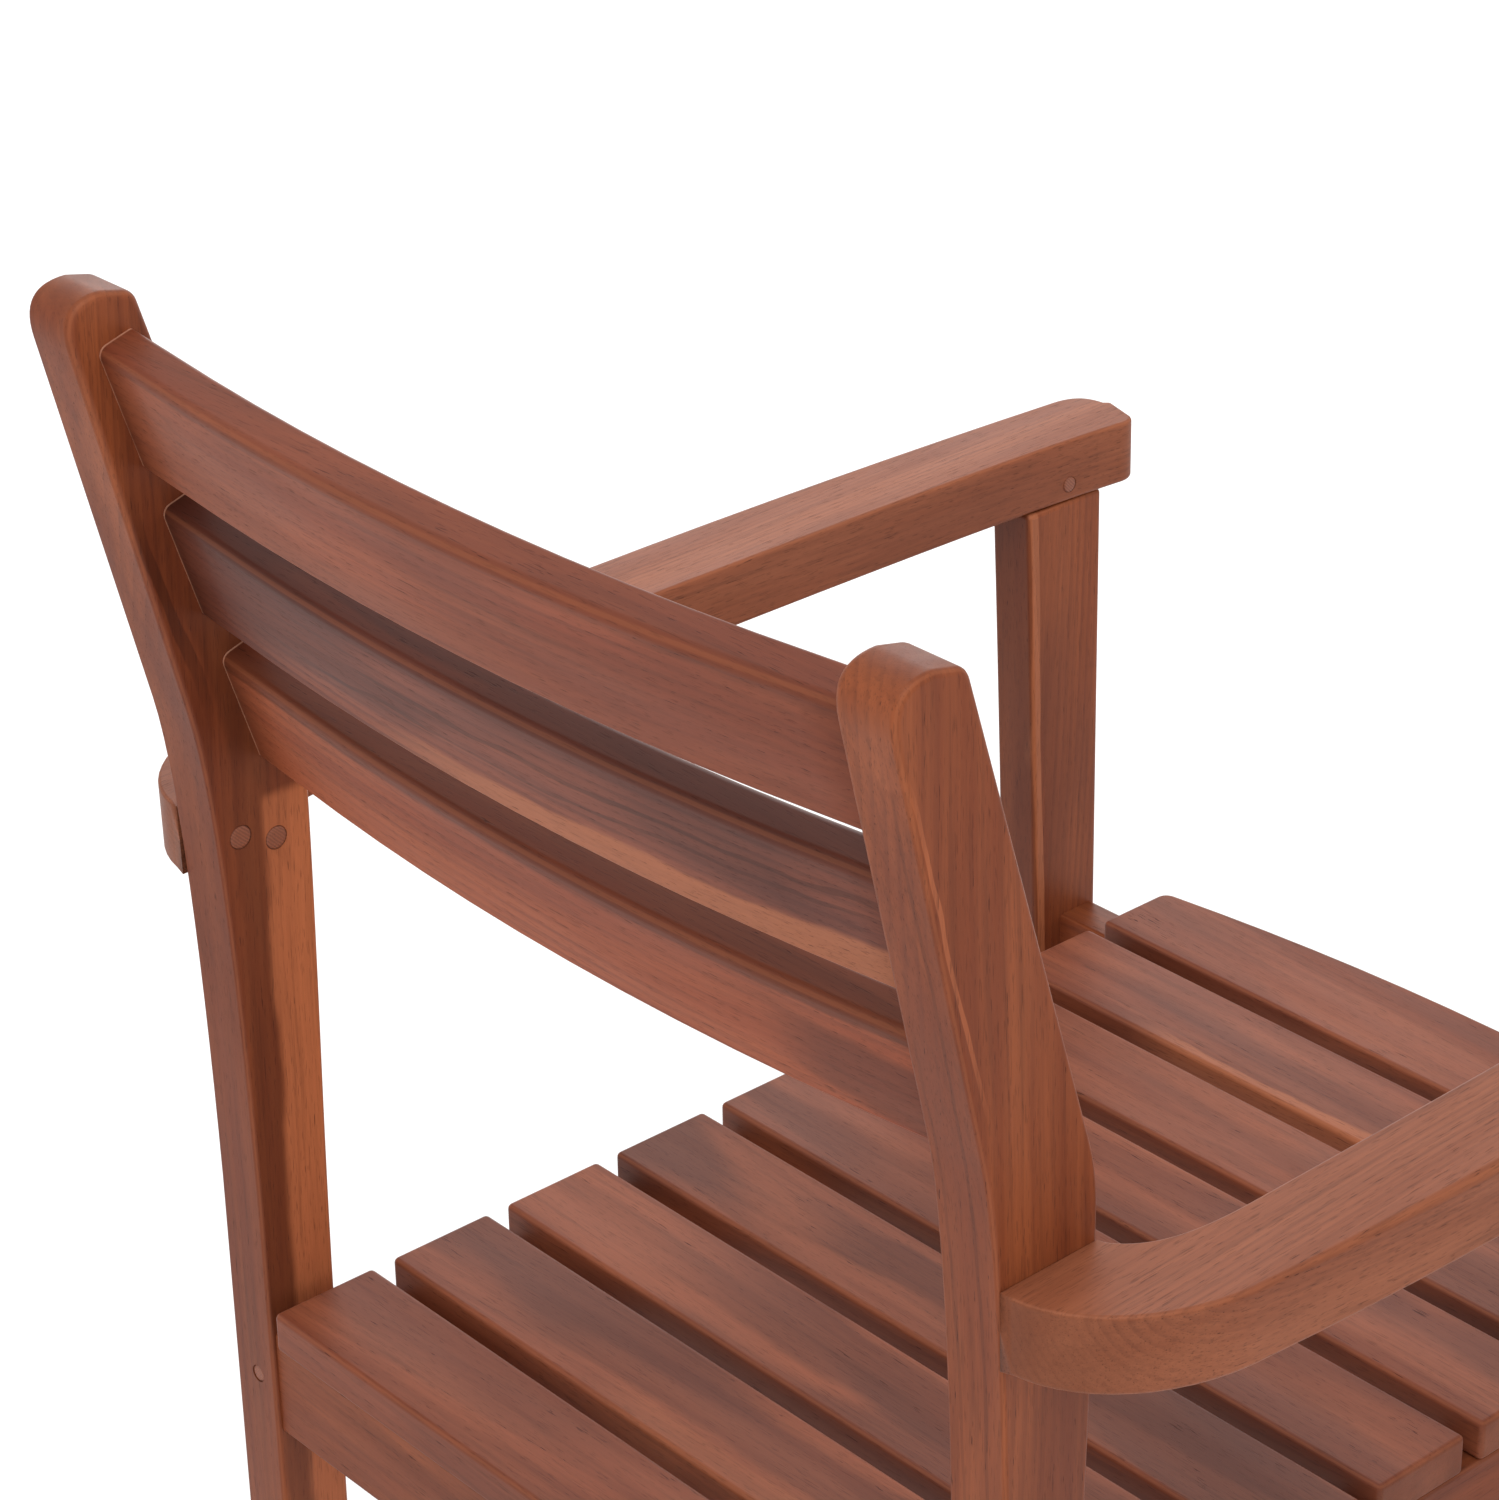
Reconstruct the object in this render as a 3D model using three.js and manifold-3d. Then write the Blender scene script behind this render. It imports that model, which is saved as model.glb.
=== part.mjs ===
import * as THREE from "three";
import { mergeVertices } from "three/addons/utils/BufferGeometryUtils.js";
import Module from "manifold-3d";

// A slatted wooden garden armchair for one sitter, joined with tenons, pegs and plugged screws.
// Millimetres, +Z up, and the sitter faces -Y. The origin is on the floor under the chair's middle.
// Every piece is drawn from the middle of the seat's rear top edge: there -Y is the distance
// forward and Z is the height above the seat. The left side is the sitter's left, at +X.

// Overall
const SEAT_HEIGHT = 440;
const FLOOR = -SEAT_HEIGHT;
const GAP = 0.3;

// Seat slats
const SLAT_COUNT = 9;
const SLAT_LENGTH = 380;
const SLAT_WIDTH = 50;
const SLAT_PITCH = 60;
const SLAT_THICKNESS = 17.5;
const FRONT_SLAT_END_WIDTH = 42.5;
const FRONT_SLAT_BOW = 15.5;
const FRONT_SLAT_CORNER = 6;

// Back posts: upright below the arms, leaning back and tapering above them
const POST_INNER_X = 200.4;
const POST_THICKNESS = 27;
const POST_REAR_Y = -5;
const POST_FOOT_FRONT_Y = -35;
const POST_SEAT_FRONT_Y = -37.8;
const POST_ELBOW_FRONT_Y = -42.7;
const POST_ELBOW_Z = 244;
const POST_ELBOW_ROUND = 14;
const POST_REAR_BEND_BOTTOM = 46;
const POST_REAR_BEND_TOP = 268;
const POST_REAR_BEND_Y = 8.8;
const POST_REAR_LEAN = 0.235;
const POST_FRONT_LEAN = 0.301;
const POST_TOP_Z = 444.5;
const POST_TOP_FALL = 3;
const POST_TOP_REAR_ROUND = 20;
const POST_TOP_FRONT_ROUND = 4.5;

// Back slats, bowed backward between the posts on one leaning plane
const BACK_LEAN = Math.atan(0.31);
const BACK_FOOT_Y = -21.4;
const BACK_FOOT_Z = 241.8;
const BACK_SLATS = {
  bottom: { start: 0, height: 49.6 },
  middle: { start: 69.7, height: 49.6 },
  top: { start: 138, height: 52.6 },
};
const BACK_SLAT_THICKNESS = 16.6;
const BACK_SLAT_BOW = 11.9;

// Armrests, seen from above as a curved plank that rises slightly to the front
const ARM_THICKNESS = 30.2;
const ARM_REAR_TOP_Z = 218;
const ARM_RISE = 0.012;
const ARM_REAR_X = POST_INNER_X + POST_THICKNESS + GAP;
const ARM_REAR_Y = 1;
const ARM_ROOT_FRONT_Y = -42.5;
const ARM_FRONT_Y = -549;
const ARM_INNER_X = 246;
const ARM_OUTER_X = 289.6;

// Front legs
const LEG_INNER_X = 239.5;
const LEG_THICKNESS = 24.5;
const LEG_TOP_FRONT_Y = -524;
const LEG_TOP_REAR_Y = -476.2;
const LEG_FOOT_FRONT_Y = -530.5;
const LEG_FOOT_REAR_Y = -494;
const LEG_WAIST_REAR_Y = -491.5;
const LEG_WAIST_Z = -132;

// Seat frame: two rails under the slat ends, tenoned into the rear and front aprons
const RAIL_HEIGHT = 50.2;
const RAIL_THICKNESS = 24.5;
const RAIL_TOP_Z = -SLAT_THICKNESS - GAP;
const RAIL_OUTER_X = 189.5;
const REAR_APRON_REAR_Y = -7;
const REAR_APRON_THICKNESS = 21;
const FRONT_APRON_FRONT_Y = -524;
const FRONT_APRON_THICKNESS = 22;
const FRONT_APRON_TOP_Z = -25;
const FRONT_APRON_HEIGHT = 50;

// Tenons: length into the neighbour, thickness and height
const BACK_SLAT_TENON = { length: 14, thickness: 9, height: 34 };
const REAR_APRON_TENON = { length: 20, thickness: 10, height: 34 };
const FRONT_APRON_TENON = { length: 18, thickness: 10, height: 34 };
const RAIL_TENON = { length: 10.5, thickness: 10, height: 28 };
const LEG_TENON = { length: 18, thickness: 12, depth: 26 };
const TENON_ROOT = 5;

// Pegs, plugs and screws
const PEG_RADIUS = 3.8;
const REAR_PEG = { x: 212, z: -43, depth: 25.5 };
const FRONT_PEG = { x: 249.5, z: -50, depth: 22 };
const ARM_PEG = { x: 238.8, y: -502, z: 202, depth: 27 };
const PLUG_RADIUS = 5;
const PLUG_DEPTH = 6;
const PLUG_PLACES = { rear: { y: -9.2, z: 211 }, front: { y: -25.6, z: 205 } };
const SCREW_RADIUS = 2.1;
const SCREW_HEAD_RADIUS = 4;
const SCREW_HEAD_HEIGHT = 3;
const SCREW_TIP = 5;
const ARM_SCREW_LENGTH = 41;
const SLAT_SCREW_LENGTH = 40;
const SLAT_SCREW_BITE = 11.5;
const SLAT_SCREW_X = RAIL_OUTER_X - RAIL_THICKNESS / 2;
const SLAT_SCREW_END_MARGIN = 11;
const ROUND_SIDES = 24;
const SCREW_SIDES = 16;

const TEAK_FRAME = new THREE.MeshStandardMaterial({ color: 0x8f5440, roughness: 0.5, metalness: 0 });
const TEAK_BACK = new THREE.MeshStandardMaterial({ color: 0x9a5c46, roughness: 0.5, metalness: 0 });
const TEAK_SEAT = new THREE.MeshStandardMaterial({ color: 0x8d5f53, roughness: 0.48, metalness: 0 });
const TEAK_PEG = new THREE.MeshStandardMaterial({ color: 0x7c4a37, roughness: 0.6, metalness: 0 });
const STEEL = new THREE.MeshStandardMaterial({ color: 0xb9b9b4, roughness: 0.35, metalness: 1 });

const wasm = await Module();
wasm.setup();

// A closed geometry as a solid that can be cut and joined.
function solid(geometry) {
  const bare = geometry.clone();
  bare.deleteAttribute("normal");
  bare.deleteAttribute("uv");
  const merged = mergeVertices(bare, 1e-4);
  const vertProperties = new Float32Array(merged.attributes.position.array);
  const triVerts = new Uint32Array(merged.index.array);
  return new wasm.Manifold(new wasm.Mesh({ numProp: 3, vertProperties, triVerts }));
}

// A piece of wood: the stock with its tenons added and its mortises and holes taken out.
function worked(stock, added, cut) {
  let shape = solid(stock);
  for (const piece of added) {
    shape = shape.add(solid(piece));
  }
  for (const piece of cut) {
    shape = shape.subtract(solid(piece));
  }
  const mesh = shape.getMesh();
  const geometry = new THREE.BufferGeometry();
  geometry.setAttribute("position", new THREE.BufferAttribute(mesh.vertProperties, 3));
  geometry.setIndex(new THREE.BufferAttribute(mesh.triVerts, 1));
  const flat = geometry.toNonIndexed();
  flat.computeVertexNormals();
  return flat;
}

// A plank drawn in plan, with its underside at Z = 0.
function planPlank(outline, thickness) {
  return new THREE.ExtrudeGeometry(outline, { depth: thickness, bevelEnabled: false, curveSegments: 14 });
}

// A plank drawn from the side as (Y, Z), running outward from X = innerX.
function sidePlank(outline, innerX, thickness) {
  const plank = new THREE.ExtrudeGeometry(outline, {
    depth: thickness,
    bevelEnabled: false,
    curveSegments: 14,
  });
  const toSide = new THREE.Matrix4().makeBasis(
    new THREE.Vector3(0, 1, 0),
    new THREE.Vector3(0, 0, 1),
    new THREE.Vector3(1, 0, 0),
  );
  return plank.applyMatrix4(toSide).translate(innerX, 0, 0);
}

// A square block between two values on each axis.
function block(x, y, z) {
  const box = new THREE.BoxGeometry(x[1] - x[0], y[1] - y[0], z[1] - z[0]);
  return box.translate((x[0] + x[1]) / 2, (y[0] + y[1]) / 2, (z[0] + z[1]) / 2);
}

// Turns a geometry that stands on Y = 0 so that it starts at a point and runs along a direction.
function aim(geometry, start, direction) {
  const turn = new THREE.Quaternion().setFromUnitVectors(new THREE.Vector3(0, 1, 0), direction);
  return geometry.applyQuaternion(turn).translate(start.x, start.y, start.z);
}

// A round rod: a peg, a plug, or the hole for one.
function rod(radius, length, start, direction, sides = ROUND_SIDES) {
  const cylinder = new THREE.CylinderGeometry(radius, radius, length, sides);
  return aim(cylinder.translate(0, length / 2, 0), start, direction);
}

// A countersunk screw with its head at the start and its tip along the direction.
function screw(length, start, direction) {
  const profile = [
    new THREE.Vector2(0, 0),
    new THREE.Vector2(SCREW_HEAD_RADIUS, 0),
    new THREE.Vector2(SCREW_RADIUS, SCREW_HEAD_HEIGHT),
    new THREE.Vector2(SCREW_RADIUS, length - SCREW_TIP),
    new THREE.Vector2(0, length),
  ];
  return aim(new THREE.LatheGeometry(profile, SCREW_SIDES), start, direction);
}

function postRearY(z) {
  return POST_REAR_BEND_Y + (z - POST_REAR_BEND_TOP) * POST_REAR_LEAN;
}

function postFrontY(z) {
  return POST_ELBOW_FRONT_Y + (z - POST_ELBOW_Z) * POST_FRONT_LEAN;
}

// The side view of a back post, drawn up its rear edge, over the top and down its front edge.
function postOutline() {
  const bendRise = 35;
  const topRearZ = POST_TOP_Z - POST_TOP_REAR_ROUND;
  const frontZ = POST_TOP_Z - POST_TOP_FALL;
  const peak = new THREE.Vector2(postRearY(POST_TOP_Z) - POST_TOP_REAR_ROUND, POST_TOP_Z);
  const corner = new THREE.Vector2(postFrontY(frontZ), frontZ);
  const roundStart = corner.clone().lerp(peak, POST_TOP_FRONT_ROUND / corner.distanceTo(peak));
  const roundEndZ = frontZ - POST_TOP_FRONT_ROUND;
  const outline = new THREE.Shape();
  outline.moveTo(POST_REAR_Y, FLOOR);
  outline.lineTo(POST_REAR_Y + 0.5, POST_REAR_BEND_BOTTOM);
  outline.bezierCurveTo(
    POST_REAR_Y + 1.5,
    POST_REAR_BEND_BOTTOM + 104,
    postRearY(POST_REAR_BEND_TOP - bendRise),
    POST_REAR_BEND_TOP - bendRise,
    POST_REAR_BEND_Y,
    POST_REAR_BEND_TOP,
  );
  outline.lineTo(postRearY(topRearZ), topRearZ);
  outline.quadraticCurveTo(postRearY(POST_TOP_Z), POST_TOP_Z, peak.x, peak.y);
  outline.lineTo(roundStart.x, roundStart.y);
  outline.quadraticCurveTo(corner.x, corner.y, postFrontY(roundEndZ), roundEndZ);
  outline.lineTo(postFrontY(POST_ELBOW_Z + POST_ELBOW_ROUND), POST_ELBOW_Z + POST_ELBOW_ROUND);
  outline.quadraticCurveTo(
    POST_ELBOW_FRONT_Y,
    POST_ELBOW_Z,
    POST_ELBOW_FRONT_Y,
    POST_ELBOW_Z - POST_ELBOW_ROUND,
  );
  outline.bezierCurveTo(POST_ELBOW_FRONT_Y, 150, POST_SEAT_FRONT_Y, 60, POST_SEAT_FRONT_Y, -40);
  outline.lineTo(POST_FOOT_FRONT_Y, FLOOR);
  outline.closePath();
  return outline;
}

// The leaning frame of the back: Z runs up the slats and Y points out of their rear faces.
function backFrame() {
  const frame = new THREE.Matrix4().makeRotationX(-BACK_LEAN);
  return frame.setPosition(0, BACK_FOOT_Y, BACK_FOOT_Z);
}

// The tenon on a back slat's left end, or its mortise when grown by a clearance.
function backSlatTenon(slat, grow) {
  const middleY = -BACK_SLAT_THICKNESS / 2;
  const middleZ = slat.start + slat.height / 2;
  const halfThickness = BACK_SLAT_TENON.thickness / 2 + grow;
  const halfHeight = BACK_SLAT_TENON.height / 2 + grow;
  return block(
    [POST_INNER_X - TENON_ROOT, POST_INNER_X + BACK_SLAT_TENON.length + grow],
    [middleY - halfThickness, middleY + halfThickness],
    [middleZ - halfHeight, middleZ + halfHeight],
  );
}

function rearApronTenon(grow) {
  const middleY = REAR_APRON_REAR_Y - REAR_APRON_THICKNESS / 2;
  const halfThickness = REAR_APRON_TENON.thickness / 2 + grow;
  const halfHeight = REAR_APRON_TENON.height / 2 + grow;
  return block(
    [POST_INNER_X - TENON_ROOT, POST_INNER_X + REAR_APRON_TENON.length + grow],
    [middleY - halfThickness, middleY + halfThickness],
    [REAR_PEG.z - halfHeight, REAR_PEG.z + halfHeight],
  );
}

function frontApronTenon(grow) {
  const middleY = FRONT_APRON_FRONT_Y + FRONT_APRON_THICKNESS / 2;
  const halfThickness = FRONT_APRON_TENON.thickness / 2 + grow;
  const halfHeight = FRONT_APRON_TENON.height / 2 + grow;
  return block(
    [LEG_INNER_X - TENON_ROOT, LEG_INNER_X + FRONT_APRON_TENON.length + grow],
    [middleY - halfThickness, middleY + halfThickness],
    [FRONT_PEG.z - halfHeight, FRONT_PEG.z + halfHeight],
  );
}

// The side rail's tenons, or their mortises in the aprons when grown by a clearance.
function railTenons(grow) {
  const middleX = RAIL_OUTER_X - RAIL_THICKNESS / 2;
  const middleZ = (RAIL_TOP_Z + FRONT_APRON_TOP_Z - FRONT_APRON_HEIGHT) / 2;
  const halfThickness = RAIL_TENON.thickness / 2 + grow;
  const halfHeight = RAIL_TENON.height / 2 + grow;
  const rearFaceY = REAR_APRON_REAR_Y - REAR_APRON_THICKNESS;
  const frontFaceY = FRONT_APRON_FRONT_Y + FRONT_APRON_THICKNESS;
  const x = [middleX - halfThickness, middleX + halfThickness];
  const z = [middleZ - halfHeight, middleZ + halfHeight];
  return [
    block(x, [rearFaceY - TENON_ROOT, rearFaceY + RAIL_TENON.length + grow], z),
    block(x, [frontFaceY - RAIL_TENON.length - grow, frontFaceY + TENON_ROOT], z),
  ];
}

function legTenon(grow) {
  const middleX = LEG_INNER_X + LEG_THICKNESS / 2;
  const middleY = (LEG_TOP_FRONT_Y + LEG_TOP_REAR_Y) / 2;
  const halfThickness = LEG_TENON.thickness / 2 + grow;
  const halfDepth = LEG_TENON.depth / 2 + grow;
  const topZ = armUndersideZ(middleY) + LEG_TENON.length;
  return block(
    [middleX - halfThickness, middleX + halfThickness],
    [middleY - halfDepth, middleY + halfDepth],
    [topZ - LEG_TENON.length - TENON_ROOT, topZ + grow],
  );
}

// The rod that pegs the rear apron to the post, from the post's rear face.
function rearPeg(grow) {
  const start = new THREE.Vector3(REAR_PEG.x, POST_REAR_Y + grow, REAR_PEG.z);
  return rod(PEG_RADIUS + grow, REAR_PEG.depth + 2 * grow, start, new THREE.Vector3(0, -1, 0));
}

// The rod that pegs the front apron to the leg, from the leg's front face.
function frontPeg(grow) {
  const start = new THREE.Vector3(FRONT_PEG.x, legFrontY(FRONT_PEG.z) - grow, FRONT_PEG.z);
  return rod(PEG_RADIUS + grow, FRONT_PEG.depth + 2 * grow, start, new THREE.Vector3(0, 1, 0));
}

// The rod that pegs the leg's tenon in the arm, from the arm's inner side.
function armPeg(grow) {
  const start = new THREE.Vector3(ARM_PEG.x - grow, ARM_PEG.y, ARM_PEG.z);
  return rod(PEG_RADIUS + grow, ARM_PEG.depth + 2 * grow, start, new THREE.Vector3(1, 0, 0));
}

const OUTWARD = new THREE.Vector3(1, 0, 0);
const UPWARD = new THREE.Vector3(0, 0, 1);

function armPlug(place) {
  return rod(PLUG_RADIUS, PLUG_DEPTH, new THREE.Vector3(POST_INNER_X, place.y, place.z), OUTWARD);
}

function armScrew(place) {
  const start = new THREE.Vector3(POST_INNER_X + PLUG_DEPTH + GAP, place.y, place.z);
  return screw(ARM_SCREW_LENGTH, start, OUTWARD);
}

// The stepped hole for one arm screw: wide for the plug and the head, then narrow for the shank.
function armScrewHole(place) {
  const mouth = new THREE.Vector3(POST_INNER_X - 1, place.y, place.z);
  const wide = PLUG_DEPTH + SCREW_HEAD_HEIGHT + 1 + 2 * GAP;
  const narrow = 1 + PLUG_DEPTH + ARM_SCREW_LENGTH + 2 * GAP;
  return [
    rod(PLUG_RADIUS + GAP, wide, mouth, OUTWARD),
    rod(SCREW_RADIUS + GAP, narrow, mouth, OUTWARD, SCREW_SIDES),
  ];
}

function backPost() {
  const stock = sidePlank(postOutline(), POST_INNER_X, POST_THICKNESS);
  const cut = [rearApronTenon(GAP), rearPeg(GAP)];
  for (const slat of Object.values(BACK_SLATS)) {
    cut.push(backSlatTenon(slat, GAP).applyMatrix4(backFrame()));
  }
  for (const place of Object.values(PLUG_PLACES)) {
    cut.push(...armScrewHole(place));
  }
  return worked(stock, [], cut);
}

function legFrontY(z) {
  const slope = (LEG_TOP_FRONT_Y - LEG_FOOT_FRONT_Y) / (armUndersideZ(LEG_TOP_FRONT_Y) - FLOOR);
  return LEG_FOOT_FRONT_Y + (z - FLOOR) * slope;
}

// The side view of a front leg: a straight front edge and a rear edge that swells to the arm.
function legOutline() {
  const outline = new THREE.Shape();
  outline.moveTo(LEG_FOOT_FRONT_Y, FLOOR);
  outline.lineTo(LEG_FOOT_REAR_Y, FLOOR);
  outline.quadraticCurveTo(
    LEG_WAIST_REAR_Y,
    LEG_WAIST_Z,
    LEG_TOP_REAR_Y,
    armUndersideZ(LEG_TOP_REAR_Y) - GAP,
  );
  outline.lineTo(LEG_TOP_FRONT_Y, armUndersideZ(LEG_TOP_FRONT_Y) - GAP);
  outline.closePath();
  return outline;
}

function frontLeg() {
  const stock = sidePlank(legOutline(), LEG_INNER_X, LEG_THICKNESS);
  return worked(stock, [legTenon(0)], [frontApronTenon(GAP), frontPeg(GAP), armPeg(GAP)]);
}

function armUndersideZ(y) {
  return ARM_REAR_TOP_Z - ARM_RISE * y - ARM_THICKNESS;
}

// The armrest in plan: its root butts the post, it sweeps out, runs forward and ends rounded.
function armOutline() {
  const outline = new THREE.Shape();
  outline.moveTo(ARM_REAR_X, ARM_ROOT_FRONT_Y);
  outline.bezierCurveTo(ARM_INNER_X - 6, -50, ARM_INNER_X, -62, ARM_INNER_X, -95);
  outline.bezierCurveTo(ARM_INNER_X, -340, ARM_INNER_X - 3, -470, ARM_INNER_X - 9.5, -532);
  outline.quadraticCurveTo(ARM_INNER_X - 11, ARM_FRONT_Y + 8, ARM_INNER_X - 5, ARM_FRONT_Y + 5);
  outline.lineTo(ARM_INNER_X + 12, ARM_FRONT_Y);
  outline.quadraticCurveTo(ARM_OUTER_X - 11, ARM_FRONT_Y - 1, ARM_OUTER_X - 9.6, -530);
  outline.bezierCurveTo(ARM_OUTER_X + 1.4, -380, ARM_OUTER_X + 4.4, -190, ARM_OUTER_X - 8, -60);
  outline.bezierCurveTo(ARM_OUTER_X - 12.6, -22, ARM_REAR_X + 24.3, ARM_REAR_Y, ARM_REAR_X, ARM_REAR_Y);
  outline.closePath();
  return outline;
}

function armrest() {
  const tilt = new THREE.Matrix4().makeRotationX(-Math.atan(ARM_RISE));
  tilt.setPosition(0, 0, armUndersideZ(0));
  const stock = planPlank(armOutline(), ARM_THICKNESS).applyMatrix4(tilt);
  const cut = [legTenon(GAP), armPeg(GAP)];
  for (const place of Object.values(PLUG_PLACES)) {
    cut.push(...armScrewHole(place));
  }
  return worked(stock, [], cut);
}

// A back slat in the leaning frame, with a tenon at each end.
function backSlat(slat) {
  const halfLength = POST_INNER_X - GAP;
  const front = -BACK_SLAT_THICKNESS;
  const outline = new THREE.Shape();
  outline.moveTo(-halfLength, front);
  outline.quadraticCurveTo(0, front + 2 * BACK_SLAT_BOW, halfLength, front);
  outline.lineTo(halfLength, 0);
  outline.quadraticCurveTo(0, 2 * BACK_SLAT_BOW, -halfLength, 0);
  outline.closePath();
  const stock = planPlank(outline, slat.height).translate(0, 0, slat.start);
  const left = backSlatTenon(slat, 0);
  const right = left.clone().rotateZ(Math.PI).translate(0, front, 0);
  return worked(stock, [left, right], []).applyMatrix4(backFrame());
}

function slatRearY(index) {
  return -index * SLAT_PITCH;
}

// Where a slat's screws stand along the rails, kept clear of the rails' own tenons.
function slatScrewY(index) {
  const middle = slatRearY(index) - SLAT_WIDTH / 2;
  const rearmost = REAR_APRON_REAR_Y - REAR_APRON_THICKNESS - SLAT_SCREW_END_MARGIN;
  const foremost = FRONT_APRON_FRONT_Y + FRONT_APRON_THICKNESS + SLAT_SCREW_END_MARGIN;
  return Math.min(rearmost, Math.max(foremost, middle));
}

function slatScrewHead(index) {
  const headZ = -SLAT_THICKNESS + SLAT_SCREW_BITE - SLAT_SCREW_LENGTH;
  return new THREE.Vector3(SLAT_SCREW_X, slatScrewY(index), headZ);
}

// The hole for one slat screw: its counterbore from below and its shank hole into the slat.
function slatScrewHole(index) {
  const head = slatScrewHead(index);
  const railBottom = RAIL_TOP_Z - RAIL_HEIGHT;
  const mouth = new THREE.Vector3(head.x, head.y, railBottom - 1);
  const wide = head.z + SCREW_HEAD_HEIGHT + GAP - mouth.z;
  return [
    rod(SCREW_HEAD_RADIUS + 2 * GAP, wide, mouth, UPWARD, SCREW_SIDES),
    rod(SCREW_RADIUS + GAP, SLAT_SCREW_LENGTH + GAP, head, UPWARD, SCREW_SIDES),
  ];
}

// The front slat in plan, with a bowed front edge and rounded front corners.
function frontSlatOutline(rearY) {
  const half = SLAT_LENGTH / 2;
  const endY = rearY - FRONT_SLAT_END_WIDTH;
  const corner = FRONT_SLAT_CORNER;
  const outline = new THREE.Shape();
  outline.moveTo(half, rearY);
  outline.lineTo(-half, rearY);
  outline.lineTo(-half, endY + corner);
  outline.quadraticCurveTo(-half, endY, -half + corner, endY - 1);
  outline.quadraticCurveTo(0, endY + 1 - 2 * FRONT_SLAT_BOW, half - corner, endY - 1);
  outline.quadraticCurveTo(half, endY, half, endY + corner);
  outline.closePath();
  return outline;
}

function seatSlat(index) {
  const half = SLAT_LENGTH / 2;
  const rearY = slatRearY(index);
  const plain = block([-half, half], [rearY - SLAT_WIDTH, rearY], [-SLAT_THICKNESS, 0]);
  const bowed = planPlank(frontSlatOutline(rearY), SLAT_THICKNESS).translate(0, 0, -SLAT_THICKNESS);
  const stock = index === SLAT_COUNT - 1 ? bowed : plain;
  const holes = slatScrewHole(index);
  const otherHoles = holes.map((hole) => hole.clone().translate(-2 * SLAT_SCREW_X, 0, 0));
  return worked(stock, [], [...holes, ...otherHoles]);
}

function sideRail() {
  const rearY = REAR_APRON_REAR_Y - REAR_APRON_THICKNESS - GAP;
  const frontY = FRONT_APRON_FRONT_Y + FRONT_APRON_THICKNESS + GAP;
  const stock = block(
    [RAIL_OUTER_X - RAIL_THICKNESS, RAIL_OUTER_X],
    [frontY, rearY],
    [RAIL_TOP_Z - RAIL_HEIGHT, RAIL_TOP_Z],
  );
  const cut = [];
  for (let index = 0; index < SLAT_COUNT; index += 1) {
    cut.push(...slatScrewHole(index));
  }
  return worked(stock, railTenons(0), cut);
}

// A copy of a geometry on the other side of the chair. The pieces it is used on are symmetric in X.
function across(geometry) {
  geometry.computeBoundingBox();
  const { min, max } = geometry.boundingBox;
  return geometry.clone().translate(-min.x - max.x, 0, 0);
}

function rearApron() {
  const half = POST_INNER_X - GAP;
  const frontY = REAR_APRON_REAR_Y - REAR_APRON_THICKNESS;
  const stock = block([-half, half], [frontY, REAR_APRON_REAR_Y], [RAIL_TOP_Z - RAIL_HEIGHT, RAIL_TOP_Z]);
  const tenon = rearApronTenon(0);
  const cut = [railTenons(GAP)[0], rearPeg(GAP)];
  return worked(stock, [tenon, across(tenon)], [...cut, ...cut.map(across)]);
}

function frontApron() {
  const half = LEG_INNER_X - GAP;
  const rearY = FRONT_APRON_FRONT_Y + FRONT_APRON_THICKNESS;
  const bottomZ = FRONT_APRON_TOP_Z - FRONT_APRON_HEIGHT;
  const stock = block([-half, half], [FRONT_APRON_FRONT_Y, rearY], [bottomZ, FRONT_APRON_TOP_Z]);
  const tenon = frontApronTenon(0);
  const cut = [railTenons(GAP)[1], frontPeg(GAP)];
  return worked(stock, [tenon, across(tenon)], [...cut, ...cut.map(across)]);
}

function addMesh(group, name, geometry, material) {
  const mesh = new THREE.Mesh(geometry, material);
  mesh.name = name;
  group.add(mesh);
}

// Everything that stands on one side of the chair, drawn for the left and mirrored for the right.
function side(name) {
  const group = new THREE.Group();
  addMesh(group, `back_post_${name}`, backPost(), TEAK_FRAME);
  addMesh(group, `front_leg_${name}`, frontLeg(), TEAK_FRAME);
  addMesh(group, `armrest_${name}`, armrest(), TEAK_FRAME);
  addMesh(group, `side_rail_${name}`, sideRail(), TEAK_FRAME);
  addMesh(group, `rear_apron_peg_${name}`, rearPeg(0), TEAK_PEG);
  addMesh(group, `front_apron_peg_${name}`, frontPeg(0), TEAK_PEG);
  addMesh(group, `arm_peg_${name}`, armPeg(0), TEAK_PEG);
  for (const [place, at] of Object.entries(PLUG_PLACES)) {
    addMesh(group, `arm_screw_${place}_${name}`, armScrew(at), STEEL);
    addMesh(group, `arm_plug_${place}_${name}`, armPlug(at), TEAK_PEG);
  }
  for (let index = 0; index < SLAT_COUNT; index += 1) {
    const geometry = screw(SLAT_SCREW_LENGTH, slatScrewHead(index), UPWARD);
    addMesh(group, `slat_screw_${index + 1}_${name}`, geometry, STEEL);
  }
  return group;
}

const chair = new THREE.Group();
const leftSide = side("left");
const rightSide = side("right");
rightSide.scale.x = -1;
chair.add(leftSide, rightSide);

for (const [name, slat] of Object.entries(BACK_SLATS)) {
  addMesh(chair, `back_slat_${name}`, backSlat(slat), TEAK_BACK);
}
for (let index = 0; index < SLAT_COUNT; index += 1) {
  addMesh(chair, `seat_slat_${index + 1}`, seatSlat(index), TEAK_SEAT);
}
addMesh(chair, "rear_apron", rearApron(), TEAK_FRAME);
addMesh(chair, "front_apron", frontApron(), TEAK_FRAME);

// Stands the chair on the floor with its middle over the origin.
const extent = new THREE.Box3().setFromObject(chair);
chair.position.set(0, -(extent.min.y + extent.max.y) / 2, SEAT_HEIGHT);

const part = new THREE.Group();
part.add(chair);

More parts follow.
